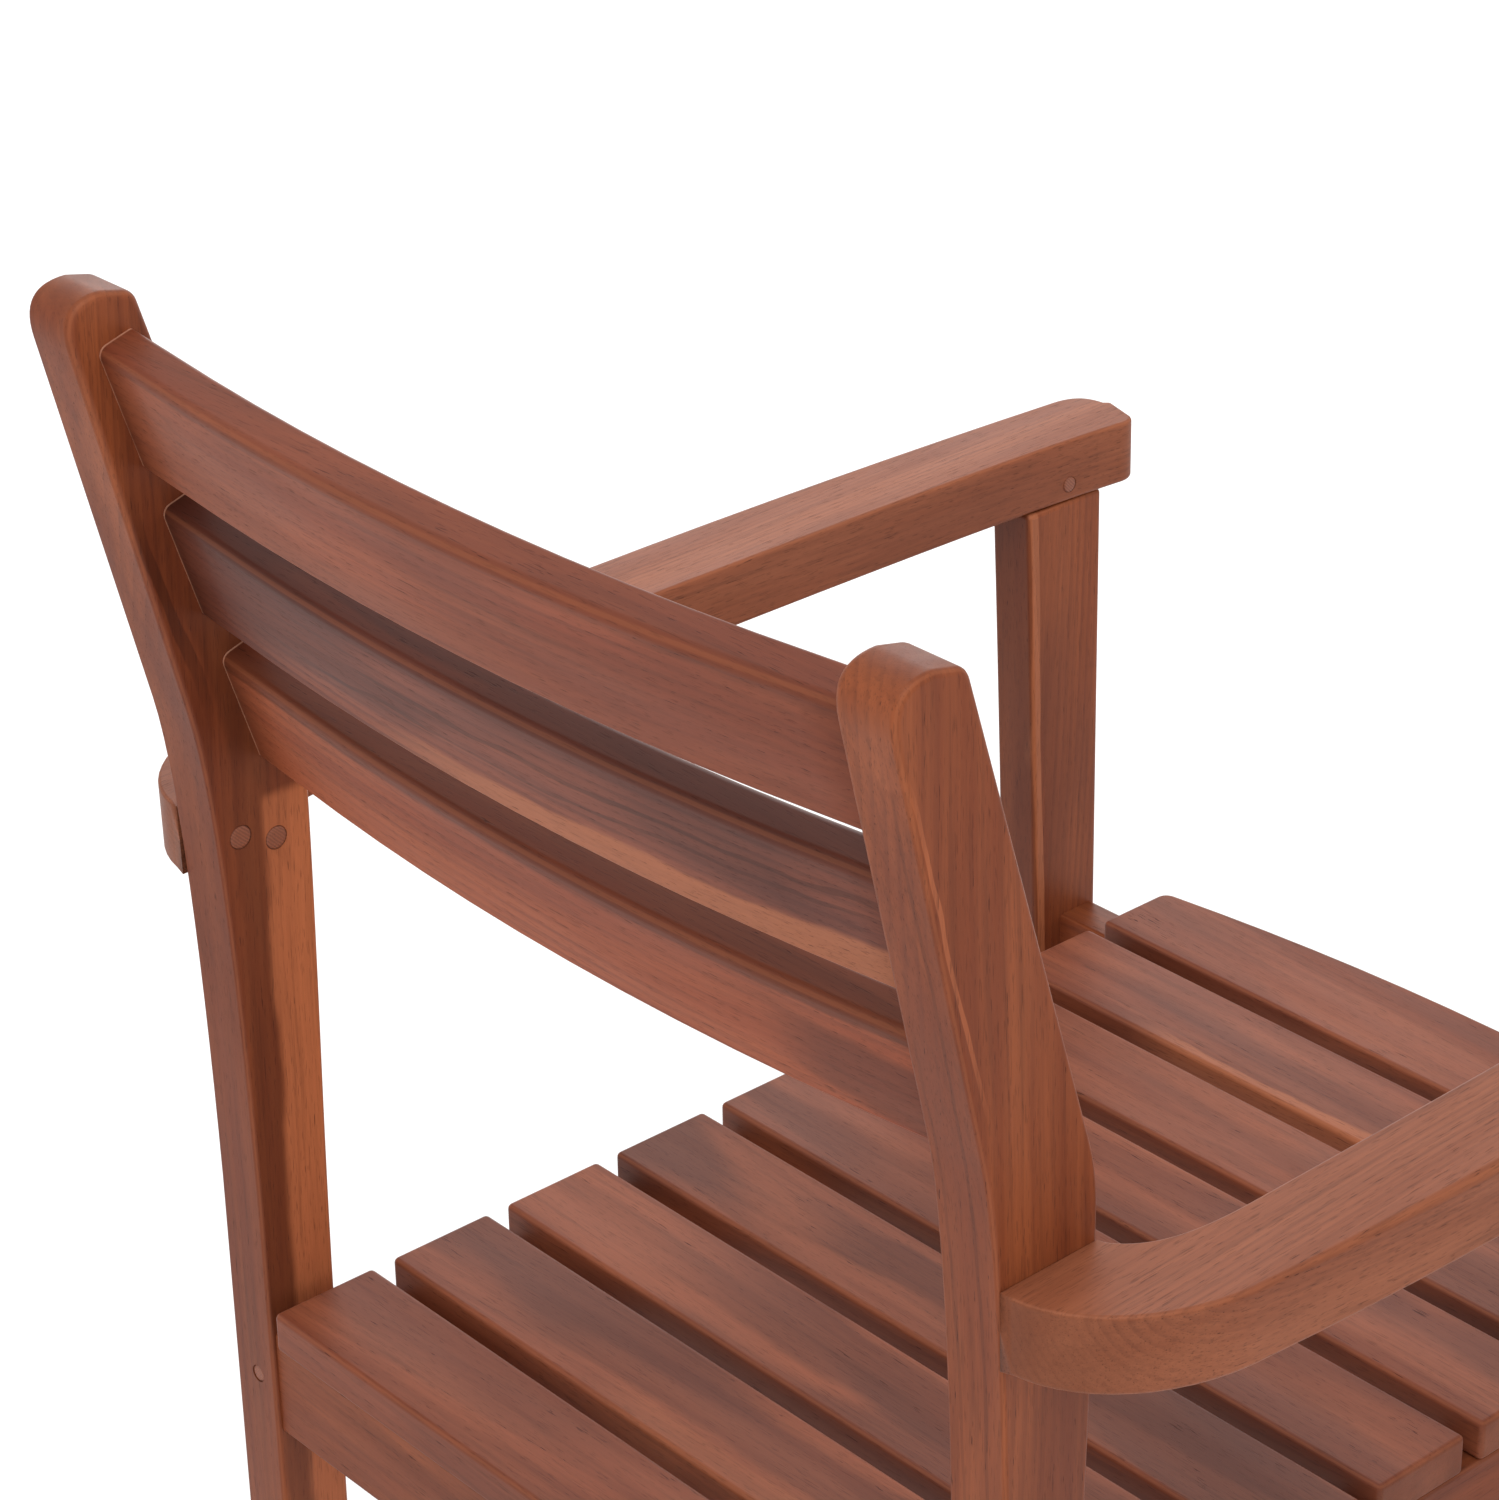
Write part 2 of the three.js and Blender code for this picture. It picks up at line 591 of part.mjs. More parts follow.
export default part;
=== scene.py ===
import math
import random

import bmesh
import bpy
from mathutils import Matrix, Vector

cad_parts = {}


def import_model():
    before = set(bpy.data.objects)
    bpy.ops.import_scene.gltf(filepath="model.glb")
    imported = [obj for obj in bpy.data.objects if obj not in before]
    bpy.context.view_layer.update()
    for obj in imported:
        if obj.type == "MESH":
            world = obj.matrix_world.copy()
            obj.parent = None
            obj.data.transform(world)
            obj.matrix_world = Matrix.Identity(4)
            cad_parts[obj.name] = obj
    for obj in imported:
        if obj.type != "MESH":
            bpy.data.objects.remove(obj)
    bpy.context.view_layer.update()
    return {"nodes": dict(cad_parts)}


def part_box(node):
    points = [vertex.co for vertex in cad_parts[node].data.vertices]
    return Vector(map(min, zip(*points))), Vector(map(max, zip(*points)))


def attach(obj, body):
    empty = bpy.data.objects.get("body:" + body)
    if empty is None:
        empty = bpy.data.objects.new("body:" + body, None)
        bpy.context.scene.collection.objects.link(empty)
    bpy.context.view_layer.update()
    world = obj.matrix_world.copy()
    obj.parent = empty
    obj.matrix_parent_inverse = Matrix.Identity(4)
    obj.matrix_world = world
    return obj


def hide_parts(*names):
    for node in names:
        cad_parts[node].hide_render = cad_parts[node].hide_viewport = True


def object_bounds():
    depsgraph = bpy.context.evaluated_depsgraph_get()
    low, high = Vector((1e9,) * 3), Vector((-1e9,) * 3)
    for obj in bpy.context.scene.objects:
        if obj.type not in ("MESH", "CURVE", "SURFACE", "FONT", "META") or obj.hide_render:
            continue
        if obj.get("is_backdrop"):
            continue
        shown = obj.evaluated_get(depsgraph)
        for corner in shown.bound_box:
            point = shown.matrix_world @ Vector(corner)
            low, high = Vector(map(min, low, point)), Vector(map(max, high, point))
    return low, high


# The looks of a slatted teak garden armchair, in metres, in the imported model's own frame.
# Each board is drawn again from the outline of one flat face of its CAD node, with its edges
# rounded. It carries its place in the log, so that grain, rings and pores run through it.

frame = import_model()

MM = 0.001
SIDES = {"left": 1, "right": -1}
X_AXIS = Vector((1, 0, 0))
Y_AXIS = Vector((0, 1, 0))
Z_AXIS = Vector((0, 0, 1))

# Reading a CAD node's main flat face: how close points are one, how level the face is, how near its
# normal is to the way it faces, and the turn below which its outline runs straight
WELD = 0.002 * MM
LEVEL_SLACK = 0.02 * MM
MAIN_FACING = 0.9
SAME_FACING = 0.5
STRAIGHT_TURN = math.radians(0.05)

# Rounding of edges and corners
ROUND_STEPS = 5
CORNER_STEPS = 5
SHARP_TURN = math.radians(25)
LATHE_SIDES = 32
FLAT_WEIGHT = 100

# The ends of a board that reach on into the neighbour that hides them
HIDDEN_REACH = 5 * MM
END_SLACK = 0.5 * MM

# Pegs, and the holes round pegs and screws
PEG_PROUD = 0.15 * MM
PEG_GAP = 0.1 * MM
PEG_GAP_DEPTH = 1.5 * MM
PEG_FACE_SHARE = 0.55
PEG_SHOULDER_SHARE = 0.85
PEG_SHOULDER_DROP = 0.1 * MM
PEG_EDGE_DROP = 0.45 * MM
COUNTERBORE_GAP = 0.5 * MM
OVERCUT = 2 * MM

# The camera, placed from the middle of the seat's rear top edge
CAMERA_FROM_SEAT = Vector((-1.01218, 0.78341, 0.96647))
CAMERA_AZIMUTH = math.radians(229.0206)
CAMERA_ELEVATION = math.radians(26.692)
CAMERA_ROLL = math.radians(-1.0)
CAMERA_LENS = 100.94
CAMERA_SENSOR = 36.0
CAMERA_NEAREST = 0.01
CAMERA_FARTHEST = 60.0

# The studio. Each lamp has a place from the chair's middle, a size, and a power in watts
FLOOR_HALF_SIZE = 15.0
WHITE = (1.0, 1.0, 1.0, 1.0)
WORLD_STRENGTH = 1.0
LAMPS = {
    "key_light": (Vector((-0.8, 1.0, 2.6)), 2.4, 30.0),
    "far_light": (Vector((2.6, -2.3, 1.7)), 3.0, 34.0),
}


# ---------------------------------------------------------------- shapes


def face_loops(faces):
    """The closed loops of points round a set of faces."""
    inside = set(faces)
    following = {}
    for face in faces:
        for loop in face.loops:
            if not any(f in inside for f in loop.edge.link_faces if f != face):
                following[loop.vert] = loop.link_loop_next.vert
    loops = []
    while following:
        start, vert = following.popitem()
        loop = [start.co.copy()]
        while vert is not start:
            loop.append(vert.co.copy())
            vert = following.pop(vert)
        loops.append(loop)
    return loops


def loop_area(loop, normal):
    """The area inside a flat loop of points."""
    total = Vector()
    for a, b in zip(loop, loop[1:] + loop[:1]):
        total += a.cross(b)
    return abs(total.dot(normal)) / 2


def turn(before, here, after):
    """The angle by which a line of points turns at one of them."""
    first = here - before
    second = after - here
    return first.angle(second, 0)


def without_straight_points(loop):
    """A loop of points without those that lie on a straight stretch."""
    kept = []
    for i, point in enumerate(loop):
        if turn(loop[i - 1], point, loop[(i + 1) % len(loop)]) > STRAIGHT_TURN:
            kept.append(point)
    return kept


def flat_face(node, facing):
    """The outline of a CAD node's main flat face on one side, its normal, and the depth behind it."""
    mesh = bmesh.new()
    mesh.from_mesh(frame["nodes"][node].data)
    bmesh.ops.remove_doubles(mesh, verts=mesh.verts, dist=WELD)
    candidates = [f for f in mesh.faces if f.normal.dot(facing) > MAIN_FACING]
    main = max(candidates, key=lambda f: f.calc_area())
    normal = main.normal.copy()
    level = main.verts[0].co.dot(normal)
    turned = [f for f in mesh.faces if f.normal.dot(facing) > SAME_FACING]
    same = [f for f in turned if all(abs(v.co.dot(normal) - level) < LEVEL_SLACK for v in f.verts)]
    outline = max(face_loops(same), key=lambda loop: loop_area(loop, normal))
    depth = level - min(v.co.dot(normal) for v in mesh.verts)
    mesh.free()
    return without_straight_points(outline), normal, depth


def reach_out(outline, axis, amount):
    """Moves the end of an outline along an axis, into the neighbour that hides it."""
    end = max(p.dot(axis) for p in outline)
    return [p + axis * amount if end - p.dot(axis) < END_SLACK else p for p in outline]


def with_round_corners(outline, normal, radius):
    """Replaces each sharp corner of an outline by an arc."""
    rounded = []
    for i, corner in enumerate(outline):
        before = outline[i - 1]
        after = outline[(i + 1) % len(outline)]
        angle = turn(before, corner, after)
        if angle < SHARP_TURN or radius == 0:
            rounded.append(corner)
            continue
        back = (before - corner).normalized()
        ahead = (after - corner).normalized()
        tangent = radius * math.tan(angle / 2)
        middle = (back + ahead).normalized()
        centre = corner + middle * (radius / math.cos(angle / 2))
        spoke = corner + back * tangent - centre
        outward = (after - corner).cross(back).dot(normal)
        sweep = angle if outward > 0 else -angle
        for step in range(CORNER_STEPS + 1):
            swing = Matrix.Rotation(sweep * step / CORNER_STEPS, 3, normal)
            rounded.append(centre + swing @ spoke)
    return rounded


def inward_steps(outline, normal):
    """For each point of an outline, the step that moves both its edges inward by one unit."""
    steps = []
    for i, point in enumerate(outline):
        first = normal.cross(point - outline[i - 1]).normalized()
        second = normal.cross(outline[(i + 1) % len(outline)] - point).normalized()
        steps.append((first + second) / (1 + first.dot(second)))
    return steps


def skin(rings, sides):
    """The faces over rings of points that follow each other: both ends, and the bands between."""
    faces = [list(range(sides))]
    for ring in range(rings - 1):
        a = ring * sides
        b = a + sides
        for i in range(sides):
            j = (i + 1) % sides
            faces.append([a + i, b + i, b + j, a + j])
    last = (rings - 1) * sides
    faces.append([last + i for i in reversed(range(sides))])
    return faces


def rounded_board(outline, normal, depth, front_round, back_round):
    """A board behind a flat outline, with both its faces' edges rounded: points, faces, and each point's
    share of the pale line halfway round each rounding, which is partly edge wear and partly a painted
    highlight.
    """
    steps = inward_steps(outline, normal)
    rings = []
    for side, radius_at in (("front", front_round), ("back", back_round)):
        for step in range(ROUND_STEPS + 1):
            angle = math.pi / 2 * step / ROUND_STEPS
            if side == "back":
                angle = math.pi / 2 - angle
            ring = []
            for point, inward in zip(outline, steps):
                radius = radius_at(point, inward)
                inset = radius * (1 - math.sin(angle))
                drop = radius * (1 - math.cos(angle))
                height = -drop if side == "front" else drop - depth
                ring.append(point + inward * inset + normal * height)
            # The share peaks halfway round each rounding, where the pale edge line, partly wear and partly
            # a painted highlight, is strongest
            rings.append((ring, math.sin(2 * angle)))
    points = [p for ring, wear_and_highlight in rings for p in ring]
    wear_and_highlights = [wear_and_highlight for ring, wear_and_highlight in rings for _ in ring]
    return points, skin(len(rings), len(outline)), wear_and_highlights


def make_mesh(name, points, faces):
    """A closed, smooth-shaded mesh object."""
    mesh = bpy.data.meshes.new(name)
    mesh.from_pydata([tuple(p) for p in points], [], faces)
    mesh.update()
    shaped = bmesh.new()
    shaped.from_mesh(mesh)
    bmesh.ops.recalc_face_normals(shaped, faces=shaped.faces)
    for face in shaped.faces:
        face.smooth = True
    shaped.to_mesh(mesh)
    shaped.free()
    piece = bpy.data.objects.new(name, mesh)
    bpy.context.scene.collection.objects.link(piece)
    return piece


def keep_flats_flat(piece):
    """Weights the shading by area, so that flat faces look flat and only their edges look round."""
    weighted = piece.modifiers.new("flat_faces", "WEIGHTED_NORMAL")
    weighted.mode = "FACE_AREA"
    weighted.weight = FLAT_WEIGHT
    weighted.keep_sharp = False


def apply_modifiers(piece):
    """Makes a piece's modified shape its own mesh."""
    depsgraph = bpy.context.evaluated_depsgraph_get()
    mesh = bpy.data.meshes.new_from_object(piece.evaluated_get(depsgraph))
    piece.modifiers.clear()
    piece.data = mesh


def lathe(name, profile, start, axis):
    """A solid turned round an axis, from (distance along the axis, radius) pairs."""
    across = axis.orthogonal().normalized()
    points = []
    for along, radius in profile:
        for i in range(LATHE_SIDES):
            swing = Matrix.Rotation(2 * math.pi * i / LATHE_SIDES, 3, axis)
            points.append(start + axis * along + swing @ across * radius)
    return make_mesh(name, points, skin(len(profile), LATHE_SIDES))


def cut_away(piece, cutter):
    """Takes one closed shape out of another."""
    cut = piece.modifiers.new("cut", "BOOLEAN")
    cut.operation = "DIFFERENCE"
    cut.solver = "EXACT"
    cut.object = cutter
    apply_modifiers(piece)
    bpy.data.objects.remove(cutter)


# ---------------------------------------------------------------- wood coordinates


# The ranges in which a board's place in its log and its tone are drawn, unless they are given
PITH_ASIDE = (-30 * MM, 30 * MM)
PITH_BEHIND = (35 * MM, 80 * MM)
LEAN_ASIDE = (-0.04, 0.04)
LEAN_IN_DEPTH = (-0.05, 0.05)
LIGHTNESS = (-0.06, 0.08)
PURPLE_SHARE = (0.3, 0.8)
DARK_SHARE = (0.1, 0.4)
SHIFT_ALONG = (0, 40)


def grain(node, along, pith=None, lean=None, tone=None):
    """How a board lies in its log. What isn't given is drawn from the board's name.

    along is the way the fibres run.
    pith is how far the log's middle lies from the board's middle, sideways and behind its face.
    lean is how much the log's middle drifts sideways and in depth along the board.
    tone is the board's own lightness, purple and dark-streak share.
    """
    chance = random.Random(node)
    drawn_pith = (chance.uniform(*PITH_ASIDE), chance.uniform(*PITH_BEHIND))
    drawn_lean = (chance.uniform(*LEAN_ASIDE), chance.uniform(*LEAN_IN_DEPTH))
    drawn_tone = (chance.uniform(*LIGHTNESS), chance.uniform(*PURPLE_SHARE), chance.uniform(*DARK_SHARE))
    return {
        "along": along,
        "shift": chance.uniform(*SHIFT_ALONG),
        "pith": pith or drawn_pith,
        "lean": lean or drawn_lean,
        "tone": tone or drawn_tone,
    }


def mark(piece, name, kind, values):
    """Stores a value for each point of a piece, for its material to read."""
    attribute = piece.data.attributes.new(name, kind, "POINT")
    attribute.data.foreach_set("vector" if kind == "FLOAT_VECTOR" else "value", values)


def set_log_place(piece, face, wood):
    """Gives each point of a piece its place in the log: along the grain, and across it from the pith."""
    mesh = piece.data
    along = wood["along"]
    across = face.cross(along).normalized()
    corners = [v.co for v in mesh.vertices]
    lowest = Vector(map(min, *corners))
    highest = Vector(map(max, *corners))
    middle = (lowest + highest) / 2
    places = []
    spots = []
    for corner in corners:
        offset = corner - middle
        u = offset.dot(along)
        v = offset.dot(across)
        w = offset.dot(face)
        spots.extend((u, v, w))
        from_pith = (v - wood["pith"][0] - wood["lean"][0] * u, w + wood["pith"][1] - wood["lean"][1] * u)
        places.extend((u + wood["shift"], *from_pith))
    ends = [vertex.normal.dot(along) ** 2 for vertex in mesh.vertices]
    mark(piece, "log", "FLOAT_VECTOR", places)
    mark(piece, "board", "FLOAT_VECTOR", spots)
    mark(piece, "tone", "FLOAT_VECTOR", list(wood["tone"]) * len(ends))
    mark(piece, "end", "FLOAT", ends)


# ---------------------------------------------------------------- material graphs


# Where the colour mixing node keeps its two colours and its result
MIX_FIRST = 6
MIX_SECOND = 7
MIX_RESULT = 2


class Graph:
    """The nodes of one material."""

    def __init__(self, name):
        self.material = bpy.data.materials.new(name)
        self.material.use_nodes = True
        self.tree = self.material.node_tree
        self.tree.nodes.clear()

    def node(self, kind, inputs, **settings):
        """Adds a node. Each input is a value or another node's output."""
        made = self.tree.nodes.new(kind)
        for key, value in settings.items():
            setattr(made, key, value)
        for key, value in inputs.items():
            if isinstance(value, bpy.types.NodeSocket):
                self.tree.links.new(value, made.inputs[key])
            else:
                made.inputs[key].default_value = value
        return made

    def attribute(self, name, output="Vector"):
        """What a piece's points say under a name."""
        return self.node("ShaderNodeAttribute", {}, attribute_name=name).outputs[output]

    def math(self, operation, *values, clamp=False):
        inputs = dict(enumerate(values))
        return self.node("ShaderNodeMath", inputs, operation=operation, use_clamp=clamp).outputs[0]

    def vector(self, operation, *values):
        return self.node("ShaderNodeVectorMath", dict(enumerate(values)), operation=operation).outputs[0]

    def split(self, vector):
        return self.node("ShaderNodeSeparateXYZ", {0: vector}).outputs

    def noise(self, vector, scale, detail=2.0, roughness=0.5, output="Fac"):
        """Soft noise with its own scale along each axis."""
        scaled = self.vector("MULTIPLY", vector, scale)
        inputs = {"Vector": scaled, "Scale": 1.0, "Detail": detail, "Roughness": roughness}
        return self.node("ShaderNodeTexNoise", inputs).outputs[output]

    def band(self, value, low, high, to_low=0.0, to_high=1.0):
        """A smooth step between two values."""
        inputs = {"Value": value, "From Min": low, "From Max": high, "To Min": to_low, "To Max": to_high}
        return self.node("ShaderNodeMapRange", inputs, interpolation_type="SMOOTHSTEP").outputs[0]

    def mix(self, share, first, second, blend="MIX"):
        """The second colour over the first, by a share."""
        inputs = {0: share, MIX_FIRST: first, MIX_SECOND: second}
        made = self.node("ShaderNodeMix", inputs, data_type="RGBA", blend_type=blend)
        return made.outputs[MIX_RESULT]

    def bump(self, height, strength, distance, **settings):
        inputs = {"Height": height, "Strength": strength, "Distance": distance}
        return self.node("ShaderNodeBump", inputs, **settings).outputs[0]

    def surface(self, inputs):
        """Finishes the material with its shader, and returns it."""
        shader = self.node("ShaderNodeBsdfPrincipled", inputs)
        self.node("ShaderNodeOutputMaterial", {"Surface": shader.outputs[0]})
        return self.material


def colour(red, green, blue):
    """A colour from its sRGB values, 0 to 255, by the standard sRGB curve."""
    linear = []
    for value in (red, green, blue):
        share = value / 255
        linear.append(share / 12.92 if share <= 0.04045 else ((share + 0.055) / 1.055) ** 2.4)
    return (*linear, 1.0)


# ---------------------------------------------------------------- teak


# The black and the brown below are wood colours, and they also serve as painted shade along the tops of the
# back slats
BLACK_WOOD_AND_SHADE = colour(56, 26, 17)
BROWN_WOOD_AND_SHADE = colour(84, 42, 30)
PALE_WOOD = colour(168, 100, 66)
LIGHT_WOOD = colour(200, 116, 74)
END_WOOD = colour(104, 56, 34)
GLUE = colour(206, 150, 122)

# The light, deep and purple colours of each wood, the distance between its rings and how plain they
# and the pores show
WOODS = {
    "frame": {"light": colour(142, 75, 43), "deep": colour(118, 57, 32), "purple": colour(92, 44, 29),
              "ring_gap": 4.0 * MM, "rings": 0.33, "pores": 0.3},
    "arm": {"light": colour(150, 88, 60), "deep": colour(134, 74, 48), "purple": colour(106, 58, 40),
            "ring_gap": 3.0 * MM, "rings": 0.36, "pores": 0.35},
    "back": {"light": colour(150, 79, 50), "deep": colour(132, 64, 40), "purple": colour(86, 44, 31),
             "ring_gap": 5.5 * MM, "rings": 0.3, "pores": 0.3},
    "dark": {"light": colour(128, 68, 48), "deep": colour(106, 53, 38), "purple": colour(76, 38, 30),
             "ring_gap": 5.0 * MM, "rings": 0.7, "pores": 0.3},
    "seat": {"light": colour(140, 78, 53), "deep": colour(120, 62, 41), "purple": colour(90, 48, 36),
             "ring_gap": 6.0 * MM, "rings": 0.3, "pores": 0.3},
}

# The noises in teak: waves a metre along the grain and across it, detail and roughness
NOISES = {
    "drift": (3.0, 8.0, 2.0, 0.5),
    "ring_spread": (0.8, 30.0, 1.0, 0.5),
    "ring_strength": (2.0, 40.0, 1.0, 0.5),
    "stripe": (2.4, 45.0, 3.0, 0.6),
    "patch": (4.0, 20.0, 2.0, 0.55),
    "heartwood": (1.6, 34.0, 3.0, 0.6),
    "wander": (9.0, 26.0, 3.0, 0.6),
    "fibre": (30.0, 800.0, 3.0, 0.65),
    "thread": (6.0, 380.0, 2.0, 0.6),
    "pore": (130.0, 2000.0, 1.0, 0.5),
    "dent": (14.0, 60.0, 2.0, 0.5),
    "gloss": (6.0, 40.0, 2.0, 0.5),
}

# The stretch of a value over which a pattern grows, and what it grows from and to where that isn't
# from nothing to full
STRIPE_BAND = (0.34, 0.66)
PATCH_BAND = (0.44, 0.58)
HEARTWOOD_BAND = (0.56, 0.72)
THREAD_BAND = (0.54, 0.68)
PORE_BAND = (0.6, 0.68)
LATE_WOOD_BAND = (0.45, 0.97)
EARLY_WOOD_BAND = (0.0, 0.1, 1.0, 0.0)
RING_STRENGTH_BAND = (0.3, 0.7, 0.2, 1.0)
FIBRE_BAND = (0.25, 0.75, 0.0, 0.16)
GLUE_PATCH_BAND = (0.3, 0.6, 0.2, 0.8)
GLOSS_BAND = (0.3, 0.7, 0.42, 0.5)
WANDER_RANGE = (0.2, 0.8)

# How far the drift pushes the grain along and across the log, and the ring spacing's unevenness
NOISE_MIDDLE = (0.5, 0.5, 0.5)
DRIFT_PUSH = (0.0, 16 * MM, 16 * MM)
RING_UNEVENNESS = 1.4

# How much of each colour shows where its pattern is full
THREAD_SHARE = 0.17
EARLY_PORE_SHARE = 0.8
END_SHARE = 0.45
# The pale line along each rounded edge: partly wear, partly a painted highlight of the light that the
# rounding catches
WORN_EDGE_AND_HIGHLIGHT_SHARE = 0.3
WORN_EDGE_AND_HIGHLIGHT_SHARPNESS = 10.0

# The glue line in a joint, as distances short of the neighbour's face
GLUE_OUTER = 1.2 * MM
GLUE_INNER = 0.7 * MM

# The relief: how high fibres, pores and dents count in the bump
FIBRE_HEIGHT = 0.5
PORE_HEIGHT = -1.0
DENT_HEIGHT = 1.5
WOOD_BUMP_STRENGTH = 0.3
WOOD_BUMP_DEPTH = 0.15 * MM
PORE_ROUGHNESS = 0.2
WOOD_SPECULAR = 0.15

# A streak's core and rim in half widths, and what it has unless it says otherwise
STREAK_CORE = 0.8
STREAK_RIM = 1.15
STREAK_WAVER = 4 * MM
STREAK_SOFT_END = 25 * MM

# Which of a board's own coordinates a streak is measured on
ACROSS = {"v": 1, "w": 2}

# Streaks that the photograph shows on single boards. Each says which way across the board it is
# measured, how far from the board's middle it lies, how it slants, half its width, the stretch of the
# board's length that it covers, its colour, and how much of that colour shows
# Besides streaks in the wood, some entries are painted shade: the dark band along the top of each back
# slat, and a dark patch at the near-post end of the bottom back slat
STREAKS_AND_PAINTED_SHADE = {
    "back_slat_middle": (
        {"across": "w", "offset": -23 * MM, "slope": -0.04, "half_width": 9 * MM, "span": (-0.3, 0.05),
         "soft": 0.05, "colour": PALE_WOOD, "strength": 0.75},
        {"across": "w", "offset": 6 * MM, "slope": -0.03, "half_width": 1.2 * MM, "span": (-0.19, 0.08),
         "colour": BLACK_WOOD_AND_SHADE, "strength": 0.45},
        {"across": "w", "offset": -4 * MM, "slope": -0.05, "half_width": 1.0 * MM, "span": (-0.19, 0.12),
         "colour": BLACK_WOOD_AND_SHADE, "strength": 0.4},
        # Painted shade: a dark band along the top of the slat, where it lies in shadow
        {"across": "w", "offset": 25 * MM, "half_width": 6 * MM, "waver": 1 * MM, "span": (-0.3, 0.3),
         "colour": BLACK_WOOD_AND_SHADE, "strength": 0.3},
    ),
    "back_slat_bottom": (
        # Painted shadow: a dark slanting patch at the near-post end of the slat, widest at the post
        {"across": "w", "offset": 15 * MM, "slope": 0.13, "half_width": 17 * MM, "span": (-0.3, -0.12),
         "soft": 20 * MM, "colour": BROWN_WOOD_AND_SHADE, "strength": 0.65},
        # Painted shade: a dark band along the top of the slat, where it lies in shadow
        {"across": "w", "offset": 25 * MM, "half_width": 6 * MM, "waver": 1 * MM, "span": (-0.3, 0.3),
         "colour": BLACK_WOOD_AND_SHADE, "strength": 0.55},
    ),
    "back_slat_top": (
        # Painted shade: a brown band along the top of the slat, where its rear top edge turns away from the
        # light
        {"across": "w", "offset": 25.5 * MM, "half_width": 4 * MM, "waver": 1 * MM, "span": (-0.3, 0.3),
         "colour": BROWN_WOOD_AND_SHADE, "strength": 0.45},
    ),
    "back_post_left": (
        {"across": "v", "offset": 18 * MM, "half_width": 9 * MM, "waver": 3 * MM, "span": (-0.5, 0.3),
         "colour": BLACK_WOOD_AND_SHADE, "strength": 0.25},
        {"across": "v", "offset": 36 * MM, "half_width": 14.5 * MM, "waver": 3 * MM, "span": (-0.5, 0.222),
         "soft": 3 * MM, "colour": LIGHT_WOOD, "strength": 0.6},
        {"across": "v", "offset": 89 * MM, "slope": -0.27, "half_width": 12 * MM, "span": (0.24, 0.31),
         "colour": BLACK_WOOD_AND_SHADE, "strength": 0.3},
        {"across": "v", "offset": 72 * MM, "slope": -0.27, "half_width": 3 * MM, "span": (0.28, 0.35),
         "colour": BLACK_WOOD_AND_SHADE, "strength": 0.5},
    ),
    "back_post_right": (
        {"across": "w", "offset": 4 * MM, "slope": 0.005, "half_width": 0.8 * MM, "waver": 1.5 * MM,
         "span": (-0.1, 0.4), "colour": BLACK_WOOD_AND_SHADE, "strength": 0.3},
        {"across": "w", "offset": -5 * MM, "slope": -0.01, "half_width": 0.7 * MM, "waver": 1.5 * MM,
         "span": (-0.4, 0.3), "colour": BLACK_WOOD_AND_SHADE, "strength": 0.25},
        {"across": "v", "offset": -71 * MM, "slope": 0.27, "half_width": 0.9 * MM, "waver": 2 * MM,
         "span": (0.295, 0.4), "colour": LIGHT_WOOD, "strength": 0.32},
    ),
    "front_leg_left": (
        {"across": "v", "offset": -11 * MM, "slope": -0.041, "half_width": 2.5 * MM, "waver": 1 * MM,
         "span": (0.0, 0.33), "colour": PALE_WOOD, "strength": 0.8},
        {"across": "v", "offset": -17 * MM, "slope": -0.041, "half_width": 4 * MM, "waver": 0.4 * MM,
         "span": (-0.3, 0.35), "colour": BLACK_WOOD_AND_SHADE, "strength": 0.4},
    ),
    "seat_slat_2": (
        {"across": "v", "offset": 20 * MM, "slope": 0.02, "half_width": 8 * MM, "span": (-0.2, 0.05),
         "colour": PALE_WOOD, "strength": 0.3},
        {"across": "v", "offset": -4 * MM, "slope": 0.05, "half_width": 12 * MM, "span": (-0.12, 0.13),
         "colour": BROWN_WOOD_AND_SHADE, "strength": 0.45},
    ),
    "seat_slat_3": (
        {"across": "v", "offset": -6 * MM, "half_width": 16 * MM, "span": (-0.24, 0.09),
         "soft": 50 * MM, "colour": BROWN_WOOD_AND_SHADE, "strength": 0.6},
    ),
    "seat_slat_4": (
        {"across": "v", "offset": -6 * MM, "slope": 0.03, "half_width": 12 * MM, "span": (-0.2, 0.08),
         "colour": BROWN_WOOD_AND_SHADE, "strength": 0.6},
    ),
    "seat_slat_8": (
        {"across": "v", "offset": 23 * MM, "half_width": 5 * MM, "span": (-0.08, 0.1),
         "colour": PALE_WOOD, "strength": 0.6},
    ),
}

# Farther than any board reaches: a board with no glued ends
FAR_AWAY = 10.0


def teak_noise(g, place, kind, output="Fac"):
    """One of the NOISES at a place in the log."""
    along, across, detail, roughness = NOISES[kind]
    return g.noise(place, (along, across, across), detail, roughness, output)


def pushed_aside(g, log):
    """Places in the log, pushed about across the grain by slow noise."""
    centred = g.vector("SUBTRACT", teak_noise(g, log, "drift", "Color"), NOISE_MIDDLE)
    return g.vector("ADD", log, g.vector("MULTIPLY", centred, DRIFT_PUSH))


